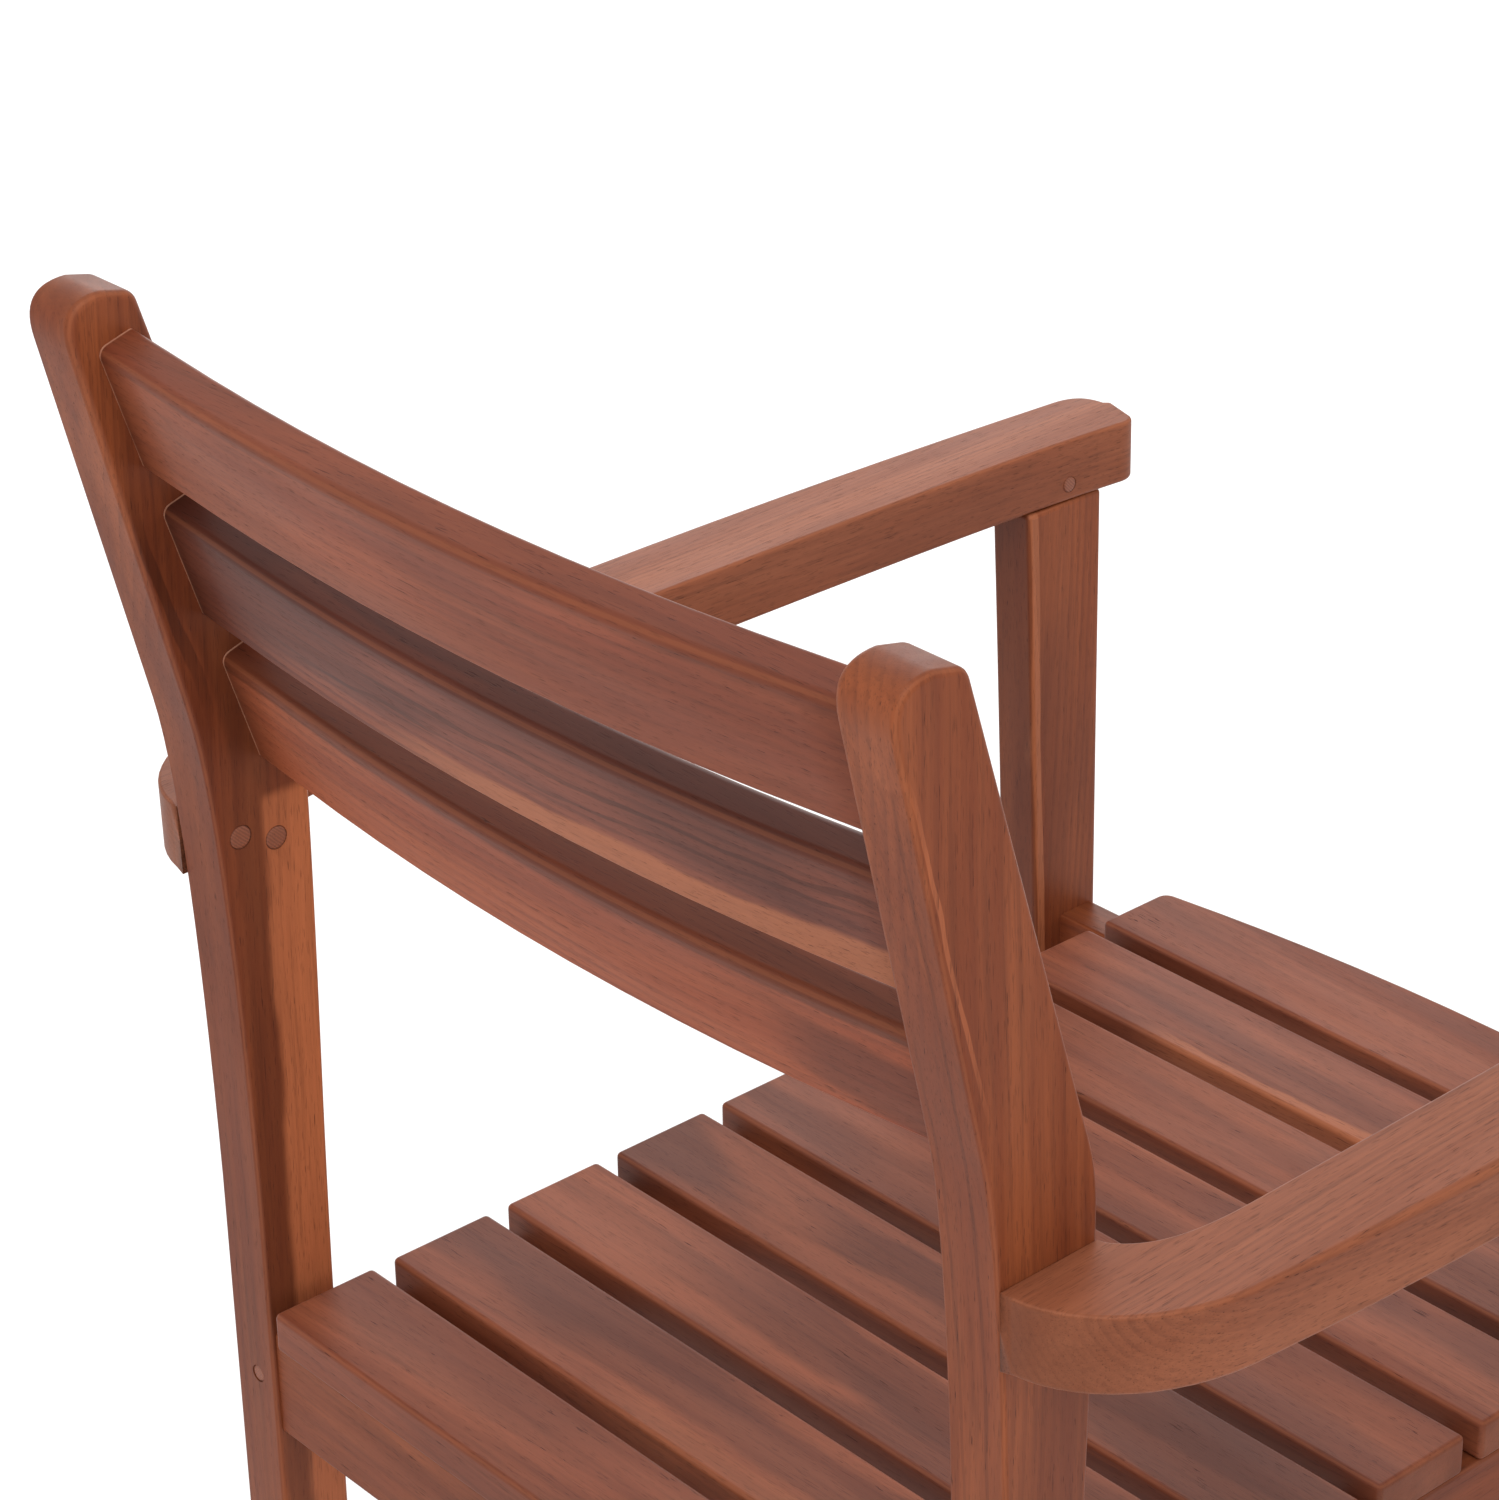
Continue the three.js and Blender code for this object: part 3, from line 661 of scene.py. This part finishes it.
def growth_rings(g, log, pushed, wood):
    """How plainly the rings round the pith show, and where their early wood is."""
    _, v, w = g.split(pushed)
    radius = g.math("SQRT", g.math("ADD", g.math("MULTIPLY", v, v), g.math("MULTIPLY", w, w)))
    spread = g.math("MULTIPLY", teak_noise(g, log, "ring_spread"), RING_UNEVENNESS)
    phase = g.math("FRACT", g.math("ADD", g.math("DIVIDE", radius, wood["ring_gap"]), spread))
    early = g.band(phase, *EARLY_WOOD_BAND)
    line = g.math("MAXIMUM", g.band(phase, *LATE_WOOD_BAND), early)
    strength = g.band(teak_noise(g, log, "ring_strength"), *RING_STRENGTH_BAND)
    return g.math("MULTIPLY", line, g.math("MULTIPLY", strength, wood["rings"])), early


def open_pores(g, log, early, wood):
    """Pores as short dashes, plainest in the early wood."""
    pore = g.band(teak_noise(g, log, "pore"), *PORE_BAND)
    return g.math("MULTIPLY", pore, g.band(early, 0.0, 1.0, wood["pores"], EARLY_PORE_SHARE))


def figure(g, pushed, tone, rings, wood):
    """The body colour: broad stripes, purple patches, rings, and dark heartwood along the grain."""
    stripe = g.band(teak_noise(g, pushed, "stripe"), *STRIPE_BAND)
    patch = g.band(teak_noise(g, pushed, "patch"), *PATCH_BAND)
    heartwood = g.band(teak_noise(g, pushed, "heartwood"), *HEARTWOOD_BAND)
    body = g.mix(stripe, wood["light"], wood["deep"])
    body = g.mix(g.math("MULTIPLY", patch, tone[1], clamp=True), body, wood["purple"])
    body = g.mix(rings, body, wood["purple"])
    return g.mix(g.math("MULTIPLY", heartwood, tone[2], clamp=True), body, BLACK_WOOD_AND_SHADE)


def colour_band_mask(g, board, wander, colour_band):
    """Where one colour band lies on a board, whether a streak in the wood or a band of painted shade: a
    wavering band along the grain, with soft ends.
    """
    u = board[0]
    waver = colour_band.get("waver", STREAK_WAVER)
    place = g.math("ADD", board[ACROSS[colour_band["across"]]], g.band(wander, *WANDER_RANGE, -waver, waver))
    middle = g.math("ADD", g.math("MULTIPLY", u, colour_band.get("slope", 0.0)), colour_band["offset"])
    distance = g.math("ABSOLUTE", g.math("SUBTRACT", place, middle))
    half = colour_band["half_width"]
    band = g.band(distance, half * STREAK_CORE, half * STREAK_RIM, 1.0, 0.0)
    low, high = colour_band["span"]
    soft = colour_band.get("soft", STREAK_SOFT_END)
    starts = g.band(u, low - soft, low + soft)
    stops = g.band(u, high - soft, high + soft, 1.0, 0.0)
    return g.math("MULTIPLY", band, g.math("MULTIPLY", starts, stops))


def with_streaks_and_painted_shade(g, body, board, wander, board_streaks_and_shade):
    """The body colour with the streaks that this board alone has, and its bands of painted shade."""
    for colour_band in board_streaks_and_shade:
        share = g.math("MULTIPLY", colour_band_mask(g, board, wander, colour_band), colour_band["strength"])
        body = g.mix(share, body, colour_band["colour"])
    return body


def with_fibres(g, body, pushed, fibre, pores):
    """The body colour with its fibres, fine dark threads and pores."""
    thread = g.band(teak_noise(g, pushed, "thread"), *THREAD_BAND)
    body = g.mix(g.band(fibre, *FIBRE_BAND), body, BLACK_WOOD_AND_SHADE)
    body = g.mix(g.math("MULTIPLY", thread, THREAD_SHARE), body, BLACK_WOOD_AND_SHADE)
    return g.mix(pores, body, BLACK_WOOD_AND_SHADE)


def with_worked_ends_and_edge_highlights(g, body, board, wander, glue_at):
    """The body colour with its end grain, the glue in its joints, and a pale line along its rounded edges
    that is partly wear and partly a painted highlight.
    """
    end = g.attribute("end", "Fac")
    wear_and_highlight = g.attribute("wear_and_highlight", "Fac")
    seam = g.band(g.math("ABSOLUTE", board[0]), glue_at - GLUE_OUTER, glue_at - GLUE_INNER)
    body = g.mix(g.math("MULTIPLY", end, END_SHARE), body, END_WOOD)
    body = g.mix(g.math("MULTIPLY", seam, g.band(wander, *GLUE_PATCH_BAND)), body, GLUE)
    # Painted highlight and wear: a pale line halfway round each rounded edge
    worn_and_highlighted = g.math("MULTIPLY", g.math("POWER", wear_and_highlight, WORN_EDGE_AND_HIGHLIGHT_SHARPNESS), WORN_EDGE_AND_HIGHLIGHT_SHARE)
    return g.mix(worn_and_highlighted, body, PALE_WOOD)


def with_lightness(g, body, lightness):
    """The body colour made lighter or darker by the board's own lightness."""
    factor = g.math("ADD", lightness, 1.0)
    grey = g.node("ShaderNodeCombineXYZ", {0: factor, 1: factor, 2: factor}).outputs[0]
    return g.mix(1.0, body, grey, "MULTIPLY")


def relief(g, log, fibre, pores):
    """The bump of raised fibres, sunken pores and shallow dents."""
    ridges = g.math("ADD", g.math("MULTIPLY", fibre, FIBRE_HEIGHT), g.math("MULTIPLY", pores, PORE_HEIGHT))
    height = g.math("ADD", ridges, g.math("MULTIPLY", teak_noise(g, log, "dent"), DENT_HEIGHT))
    return g.bump(height, WOOD_BUMP_STRENGTH, WOOD_BUMP_DEPTH)


def teak(name, wood, board_streaks_and_shade, glue_at):
    """Oiled teak, seen in the log's own coordinates.

    wood is one of WOODS, and board_streaks_and_shade are the streaks and the bands of painted shade that
    this board alone has.
    glue_at is how far from the board's middle its ends meet another board.
    """
    g = Graph(name)
    log = g.attribute("log")
    board = g.split(g.attribute("board"))
    tone = g.split(g.attribute("tone"))
    pushed = pushed_aside(g, log)
    wander = teak_noise(g, log, "wander")
    fibre = teak_noise(g, pushed, "fibre")
    rings, early = growth_rings(g, log, pushed, wood)
    pores = open_pores(g, log, early, wood)

    body = figure(g, pushed, tone, rings, wood)
    body = with_streaks_and_painted_shade(g, body, board, wander, board_streaks_and_shade)
    body = with_fibres(g, body, pushed, fibre, pores)
    body = with_worked_ends_and_edge_highlights(g, body, board, wander, glue_at)
    gloss = g.band(teak_noise(g, log, "gloss"), *GLOSS_BAND)
    return g.surface({
        "Base Color": with_lightness(g, body, tone[0]),
        "Roughness": g.math("ADD", gloss, g.math("MULTIPLY", pores, PORE_ROUGHNESS)),
        "Normal": relief(g, log, fibre, pores),
        "Specular IOR Level": WOOD_SPECULAR,
    })


def board_material(node, wood):
    """The material of one board, with its own streaks and painted shade if it has any."""
    glue_at = -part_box("back_post_right")[1].x if node in BACK_SLATS else FAR_AWAY
    name = f"teak_{wood}_{node}" if node in STREAKS_AND_PAINTED_SHADE else f"teak_{wood}_oiled"
    known = bpy.data.materials.get(name)
    return known or teak(name, WOODS[wood], STREAKS_AND_PAINTED_SHADE.get(node, ()), glue_at)


# ---------------------------------------------------------------- other materials


PEG_LIGHT = colour(138, 76, 48)
PEG_DEEP = colour(118, 62, 39)
PEG_PORE = colour(60, 32, 22)
PEG_RINGS = {"Scale": 260.0, "Distortion": 2.5, "Detail": 2.0}
PEG_PORE_WAVES = (60.0, 1700.0, 1700.0)
PEG_PORE_BAND = (0.58, 0.7)
PEG_PORE_SHARE = 0.4
PEG_ROUGHNESS = (0.5, 0.62)
ZINC_LIGHT = colour(196, 196, 190)
ZINC_DEEP = colour(160, 160, 156)
ZINC_CLOUD_WAVES = (300.0, 300.0, 300.0)
ZINC_MARK_WAVES = (90.0, 90.0, 6000.0)
ZINC_ROUGHNESS_BAND = (0.2, 0.8, 0.25, 0.42)
FLOOR_LIGHT = colour(250, 250, 250)
FLOOR_DEEP = colour(247, 247, 247)
FLOOR_WAVES = (3.0, 3.0, 3.0)


def peg_wood(name):
    """The end grain of a teak peg: rings and pores seen end on."""
    g = Graph(name)
    log = g.attribute("log")
    wave = g.node("ShaderNodeTexWave", {"Vector": log, **PEG_RINGS}, wave_type="BANDS", bands_direction="Y")
    rings = wave.outputs["Fac"]
    pores = g.band(g.noise(log, PEG_PORE_WAVES, detail=1.0), *PEG_PORE_BAND)
    body = g.mix(rings, PEG_LIGHT, PEG_DEEP)
    return g.surface({
        "Base Color": g.mix(g.math("MULTIPLY", pores, PEG_PORE_SHARE), body, PEG_PORE),
        "Roughness": g.band(rings, 0.0, 1.0, *PEG_ROUGHNESS),
        "Normal": g.bump(pores, strength=0.4, distance=0.2 * MM, invert=True),
    })


def screw_steel(name):
    """Zinc-plated steel with fine turning marks."""
    g = Graph(name)
    place = g.node("ShaderNodeTexCoord", {}).outputs["Object"]
    cloud = g.noise(place, ZINC_CLOUD_WAVES, detail=3.0)
    marks = g.noise(place, ZINC_MARK_WAVES, detail=2.0)
    return g.surface({
        "Base Color": g.mix(cloud, ZINC_LIGHT, ZINC_DEEP),
        "Metallic": 1.0,
        "Roughness": g.band(cloud, *ZINC_ROUGHNESS_BAND),
        "Normal": g.bump(marks, strength=0.3, distance=0.05 * MM),
    })


def floor_paint(name):
    """A plain pale studio floor."""
    g = Graph(name)
    place = g.node("ShaderNodeTexCoord", {}).outputs["Object"]
    body = g.mix(g.noise(place, FLOOR_WAVES, detail=2.0), FLOOR_LIGHT, FLOOR_DEEP)
    return g.surface({"Base Color": body, "Roughness": 0.9, "Specular IOR Level": 0.0})


PEG_WOOD = peg_wood("teak_peg_end_grain")
SCREW_STEEL = screw_steel("screw_steel_plated")


# ---------------------------------------------------------------- boards


# Rounding of the boards' edges. A post's grows from the arm up to its top, and an arm's upper edges
# grow over a run forward from its root
POST_OUTER_ROUND = 1.8 * MM
POST_OUTER_ROUND_AT_TOP = 2.6 * MM
POST_INNER_ROUND = 2.0 * MM
POST_INNER_ROUND_AT_TOP = 3.4 * MM
LEG_ROUND = 2.5 * MM
ARM_TOP_ROUND = 1.4 * MM
ARM_OUTSIDE_GROWTH = 3.4 * MM
ARM_INSIDE_GROWTH = 0.6 * MM
ARM_ROUNDING_RUN = 0.25
ARM_UNDER_ROUND = 2.2 * MM
ARM_SQUARE_ROOT = 1 * MM
RAIL_ROUND = 2.0 * MM
APRON_FACE_ROUND = 2.5 * MM
BACK_SLAT_REAR_ROUND = 4.0 * MM
BACK_SLAT_UNDER_FRONT_ROUND = 1.8 * MM
BACK_SLAT_UNDER_REAR_ROUND = 1.5 * MM
SEAT_SLAT_TOP_ROUND = 2.4 * MM
SEAT_SLAT_UNDER_ROUND = 1.5 * MM
BOARD_CORNER = 2.5 * MM

# How the boards that the photograph shows best lie in their logs, and each arm's tone
POST_LOG = {"pith": (62 * MM, 55 * MM), "lean": (0.03, 0.01), "tone": (0.02, 0.3, 0.12)}
LEG_LOG = {"pith": (60 * MM, 30 * MM), "lean": (0.02, 0.01), "tone": (0.08, 0.35, 0.15)}
ARM_LOG = {"pith": (28 * MM, -20 * MM), "lean": (0.02, 0.01)}
# The arms' tones are partly painted light: the right (near) arm is darkened against the lamp that brightens
# its top, and the left (far) arm is lightened partly for lighter wood and partly as a painted sheen
ARM_TONE_AND_LIGHT = {"left": (0.04, 0.25, 0.0), "right": (-0.04, 0.25, 0.0)}
PEG_TONE = (0, 0, 0)

# Each slat's own lightness, purple and dark-streak share. A back slat also has its kind of wood and
# its front top edge's rounding
SEAT_SLATS = {
    "seat_slat_1": (0.03, 0.35, 0.10),
    "seat_slat_2": (-0.02, 0.65, 0.15),
    "seat_slat_3": (0.02, 0.60, 0.15),
    "seat_slat_4": (-0.09, 0.70, 0.15),
    "seat_slat_5": (-0.02, 0.60, 0.20),
    "seat_slat_6": (0.02, 0.50, 0.15),
    "seat_slat_7": (0.00, 0.60, 0.15),
    "seat_slat_8": (0.06, 0.45, 0.10),
    "seat_slat_9": (0.06, 0.45, 0.10),
}
BACK_SLATS = {
    "back_slat_bottom": ("back", (0.12, 0.15, 0.05), 1.8 * MM),
    "back_slat_middle": ("dark", (0.02, 0.60, 0.0), 3.4 * MM),
    "back_slat_top": ("back", (0.02, 0.30, 0.04), 1.8 * MM),
}


def evenly(radius):
    """The same rounding all the way round."""
    return lambda point, inward: radius


def by_side(front, rear):
    """One rounding on the sitter's side of a board and another on its rear side."""
    return lambda point, inward: front if inward.y > 0 else rear


def rising(low, low_radius, high, high_radius):
    """A rounding that grows between two heights."""
    def radius_at(point, inward):
        share = min(1, max(0, (point.z - low) / (high - low)))
        return low_radius + (high_radius - low_radius) * share
    return radius_at


def board(node, facing, front_round, back_round, corner=0.0, reaches=()):
    """One board in the shape of its CAD node, and the way its face looks. Its holes are still to be cut."""
    outline, normal, depth = flat_face(node, facing)
    for axis in reaches:
        outline = reach_out(outline, axis, HIDDEN_REACH)
    outline = with_round_corners(outline, normal, corner)
    points, faces, wear_and_highlights = rounded_board(outline, normal, depth, front_round, back_round)
    piece = make_mesh(f"wood_{node}", points, faces)
    # Each point's share of the pale edge line, partly wear and partly a painted highlight
    mark(piece, "wear_and_highlight", "FLOAT", wear_and_highlights)
    return piece, normal


def finish_piece(piece, node, face, wood, material):
    """Gives a piece its wood and material, and ties it to the frame in place of its CAD node."""
    set_log_place(piece, face, wood)
    piece.data.materials.clear()
    piece.data.materials.append(material)
    keep_flats_flat(piece)
    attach(piece, "root")
    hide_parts(node)


def round_size(node, direction):
    """The middle, half length and radius of a round CAD node that lies along an axis."""
    low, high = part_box(node)
    size = high - low
    others = [axis for axis in (X_AXIS, Y_AXIS, Z_AXIS) if axis.dot(direction) == 0]
    radius = max(size.dot(axis) for axis in others) / 2
    return (low + high) / 2, abs(size.dot(direction)) / 2, radius


def drill(piece, node, direction):
    """Cuts the fine gap round a peg, at the end of the peg that shows."""
    middle, half, radius = round_size(node, direction)
    outside = middle + direction * (half + OVERCUT)
    rim = radius + PEG_GAP
    cutter = lathe("cutter", [(0, rim), (PEG_GAP_DEPTH + OVERCUT, rim)], outside, -direction)
    cut_away(piece, cutter)


def counterbore(piece, screw, underside):
    """Cuts the hole under a screw that goes up through a rail."""
    middle, half, radius = round_size(screw, Z_AXIS)
    start = Vector((middle.x, middle.y, underside - OVERCUT))
    rim = radius + COUNTERBORE_GAP
    cutter = lathe("cutter", [(0, rim), (middle.z - half - start.z + PEG_GAP, rim)], start, Z_AXIS)
    cut_away(piece, cutter)


def back_post(side, sign):
    """A rear leg and back upright in one, which rounds more towards its top."""
    node = f"back_post_{side}"
    arm_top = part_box(f"armrest_{side}")[1].z
    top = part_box(node)[1].z
    outer = rising(arm_top, POST_OUTER_ROUND, top, POST_OUTER_ROUND_AT_TOP)
    inner = rising(arm_top, POST_INNER_ROUND, top, POST_INNER_ROUND_AT_TOP)
    post, face = board(node, X_AXIS * sign, outer, inner, corner=BOARD_CORNER)
    for place in ("rear", "front"):
        drill(post, f"arm_plug_{place}_{side}", -X_AXIS * sign)
    drill(post, f"rear_apron_peg_{side}", Y_AXIS)
    wood = grain(node, Z_AXIS, **POST_LOG)
    finish_piece(post, node, face, wood, board_material(node, "frame"))


def front_leg(side, sign):
    """A front leg under an arm."""
    node = f"front_leg_{side}"
    leg, face = board(node, X_AXIS * sign, evenly(LEG_ROUND), evenly(LEG_ROUND), corner=BOARD_CORNER)
    drill(leg, f"front_apron_peg_{side}", -Y_AXIS)
    wood = grain(node, Z_AXIS, **LEG_LOG)
    finish_piece(leg, node, face, wood, board_material(node, "frame"))


def armrest(side, sign):
    """A curved arm, square where it meets the post and rounder outside towards its front."""
    node = f"armrest_{side}"
    root = min(corner.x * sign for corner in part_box(node)) + ARM_SQUARE_ROOT
    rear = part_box(node)[1].y

    def top_round(point, inward):
        if point.x * sign < root:
            return 0.0
        growth = ARM_OUTSIDE_GROWTH if inward.x * sign < 0 else ARM_INSIDE_GROWTH
        forward = min(1, (rear - point.y) / ARM_ROUNDING_RUN)
        return ARM_TOP_ROUND + growth * forward

    def under_round(point, inward):
        return ARM_UNDER_ROUND if point.x * sign > root else 0.0

    arm, face = board(node, Z_AXIS, top_round, under_round)
    drill(arm, f"arm_peg_{side}", -X_AXIS * sign)
    wood = grain(node, Y_AXIS, tone=ARM_TONE_AND_LIGHT[side], **ARM_LOG)
    finish_piece(arm, node, face, wood, board_material(node, "arm"))


def side_rail(side, sign):
    """A rail under the seat slats' ends, with a counterbore for each slat's screw."""
    node = f"side_rail_{side}"
    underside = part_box(node)[0].z
    every_edge = evenly(RAIL_ROUND)
    rail, face = board(node, X_AXIS * sign, every_edge, every_edge, reaches=(Y_AXIS, -Y_AXIS))
    for index in range(len(SEAT_SLATS)):
        counterbore(rail, f"slat_screw_{index + 1}_{side}", underside)
    finish_piece(rail, node, face, grain(node, Y_AXIS), board_material(node, "frame"))


def back_slat(node, kind, tone, front_round):
    """A bowed slat between the posts."""
    top_round = by_side(front_round, BACK_SLAT_REAR_ROUND)
    under_round = by_side(BACK_SLAT_UNDER_FRONT_ROUND, BACK_SLAT_UNDER_REAR_ROUND)
    slat, face = board(node, Z_AXIS, top_round, under_round, reaches=(X_AXIS, -X_AXIS))
    wood = grain(node, X_AXIS, tone=tone)
    finish_piece(slat, node, face, wood, board_material(node, kind))


def seat_slat(node, tone):
    """A slat across the side rails."""
    top_round = evenly(SEAT_SLAT_TOP_ROUND)
    under_round = evenly(SEAT_SLAT_UNDER_ROUND)
    slat, face = board(node, Z_AXIS, top_round, under_round, corner=BOARD_CORNER)
    wood = grain(node, X_AXIS, tone=tone)
    finish_piece(slat, node, face, wood, board_material(node, "seat"))


def apron(node, facing):
    """A cross rail under the seat."""
    face_round = evenly(APRON_FACE_ROUND)
    piece, face = board(node, facing, face_round, evenly(RAIL_ROUND), reaches=(X_AXIS, -X_AXIS))
    finish_piece(piece, node, face, grain(node, X_AXIS), board_material(node, "frame"))


def peg(node, direction):
    """A peg or plug, its rounded end standing a hair proud of the wood round it."""
    middle, half, radius = round_size(node, direction)
    start = middle + direction * (half + PEG_PROUD)
    profile = [
        (0, radius * PEG_FACE_SHARE),
        (PEG_SHOULDER_DROP, radius * PEG_SHOULDER_SHARE),
        (PEG_EDGE_DROP, radius),
        (2 * half + PEG_PROUD, radius),
    ]
    piece = lathe(f"wood_{node}", profile, start, -direction)
    wood = grain(node, direction, tone=PEG_TONE)
    finish_piece(piece, node, direction.orthogonal().normalized(), wood, PEG_WOOD)


def screws():
    """The screws keep their CAD shape and get their metal."""
    for name, node in frame["nodes"].items():
        if "screw" in name:
            node.data.materials.clear()
            node.data.materials.append(SCREW_STEEL)


for side_name, side_sign in SIDES.items():
    back_post(side_name, side_sign)
    front_leg(side_name, side_sign)
    armrest(side_name, side_sign)
    side_rail(side_name, side_sign)
    peg(f"rear_apron_peg_{side_name}", Y_AXIS)
    peg(f"front_apron_peg_{side_name}", -Y_AXIS)
    peg(f"arm_peg_{side_name}", -X_AXIS * side_sign)
    peg(f"arm_plug_rear_{side_name}", -X_AXIS * side_sign)
    peg(f"arm_plug_front_{side_name}", -X_AXIS * side_sign)
for slat_node, (slat_wood, slat_tone, slat_round) in BACK_SLATS.items():
    back_slat(slat_node, slat_wood, slat_tone, slat_round)
for slat_node, slat_tone in SEAT_SLATS.items():
    seat_slat(slat_node, slat_tone)
apron("rear_apron", Y_AXIS)
apron("front_apron", -Y_AXIS)
screws()


# ---------------------------------------------------------------- studio


def floor():
    """A wide pale floor under the feet."""
    half = FLOOR_HALF_SIZE
    corners = [(-half, -half, 0), (half, -half, 0), (half, half, 0), (-half, half, 0)]
    mesh = bpy.data.meshes.new("studio_floor")
    mesh.from_pydata(corners, [], [(0, 1, 2, 3)])
    mesh.materials.append(floor_paint("studio_floor_paint"))
    plane = bpy.data.objects.new("studio_floor", mesh)
    bpy.context.scene.collection.objects.link(plane)
    plane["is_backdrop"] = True


def world():
    """Even white light from all round."""
    made = bpy.data.worlds.new("studio_world")
    made.use_nodes = True
    background = made.node_tree.nodes["Background"]
    background.inputs["Color"].default_value = WHITE
    background.inputs["Strength"].default_value = WORLD_STRENGTH
    bpy.context.scene.world = made


def soft_light(name, place, aim, size, power):
    """A large soft lamp that looks at a point."""
    lamp = bpy.data.lights.new(name, "AREA")
    lamp.shape = "DISK"
    lamp.size = size
    lamp.energy = power
    made = bpy.data.objects.new(name, lamp)
    made.location = place
    made.rotation_euler = (aim - place).to_track_quat("-Z", "Y").to_euler()
    made.visible_camera = False
    bpy.context.scene.collection.objects.link(made)


def camera():
    """The photograph's view: from behind, on the chair's right, above the arm."""
    seat_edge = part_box("seat_slat_1")[1]
    place = Vector((0, seat_edge.y, seat_edge.z)) + CAMERA_FROM_SEAT
    level = Vector((math.sin(CAMERA_AZIMUTH), -math.cos(CAMERA_AZIMUTH), 0))
    backward = level * math.cos(CAMERA_ELEVATION) + Z_AXIS * math.sin(CAMERA_ELEVATION)
    right = (-backward).cross(Z_AXIS).normalized()
    upward = right.cross(-backward)
    rolled_right = right * math.cos(CAMERA_ROLL) + upward * math.sin(CAMERA_ROLL)
    rolled_up = upward * math.cos(CAMERA_ROLL) - right * math.sin(CAMERA_ROLL)
    lens = bpy.data.cameras.new("photo_camera")
    lens.sensor_fit = "HORIZONTAL"
    lens.sensor_width = CAMERA_SENSOR
    lens.lens = CAMERA_LENS
    lens.clip_start = CAMERA_NEAREST
    lens.clip_end = CAMERA_FARTHEST
    made = bpy.data.objects.new("photo_camera", lens)
    turned = Matrix((rolled_right, rolled_up, backward)).transposed().to_4x4()
    made.matrix_world = Matrix.Translation(place) @ turned
    bpy.context.scene.collection.objects.link(made)
    bpy.context.scene.camera = made


floor()
world()
lowest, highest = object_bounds()
chair_middle = (lowest + highest) / 2
for lamp_name, (lamp_place, lamp_size, lamp_power) in LAMPS.items():
    soft_light(lamp_name, chair_middle + lamp_place, chair_middle, lamp_size, lamp_power)
camera()
bpy.context.scene.view_settings.view_transform = "Standard"
bpy.context.scene.view_settings.look = "None"
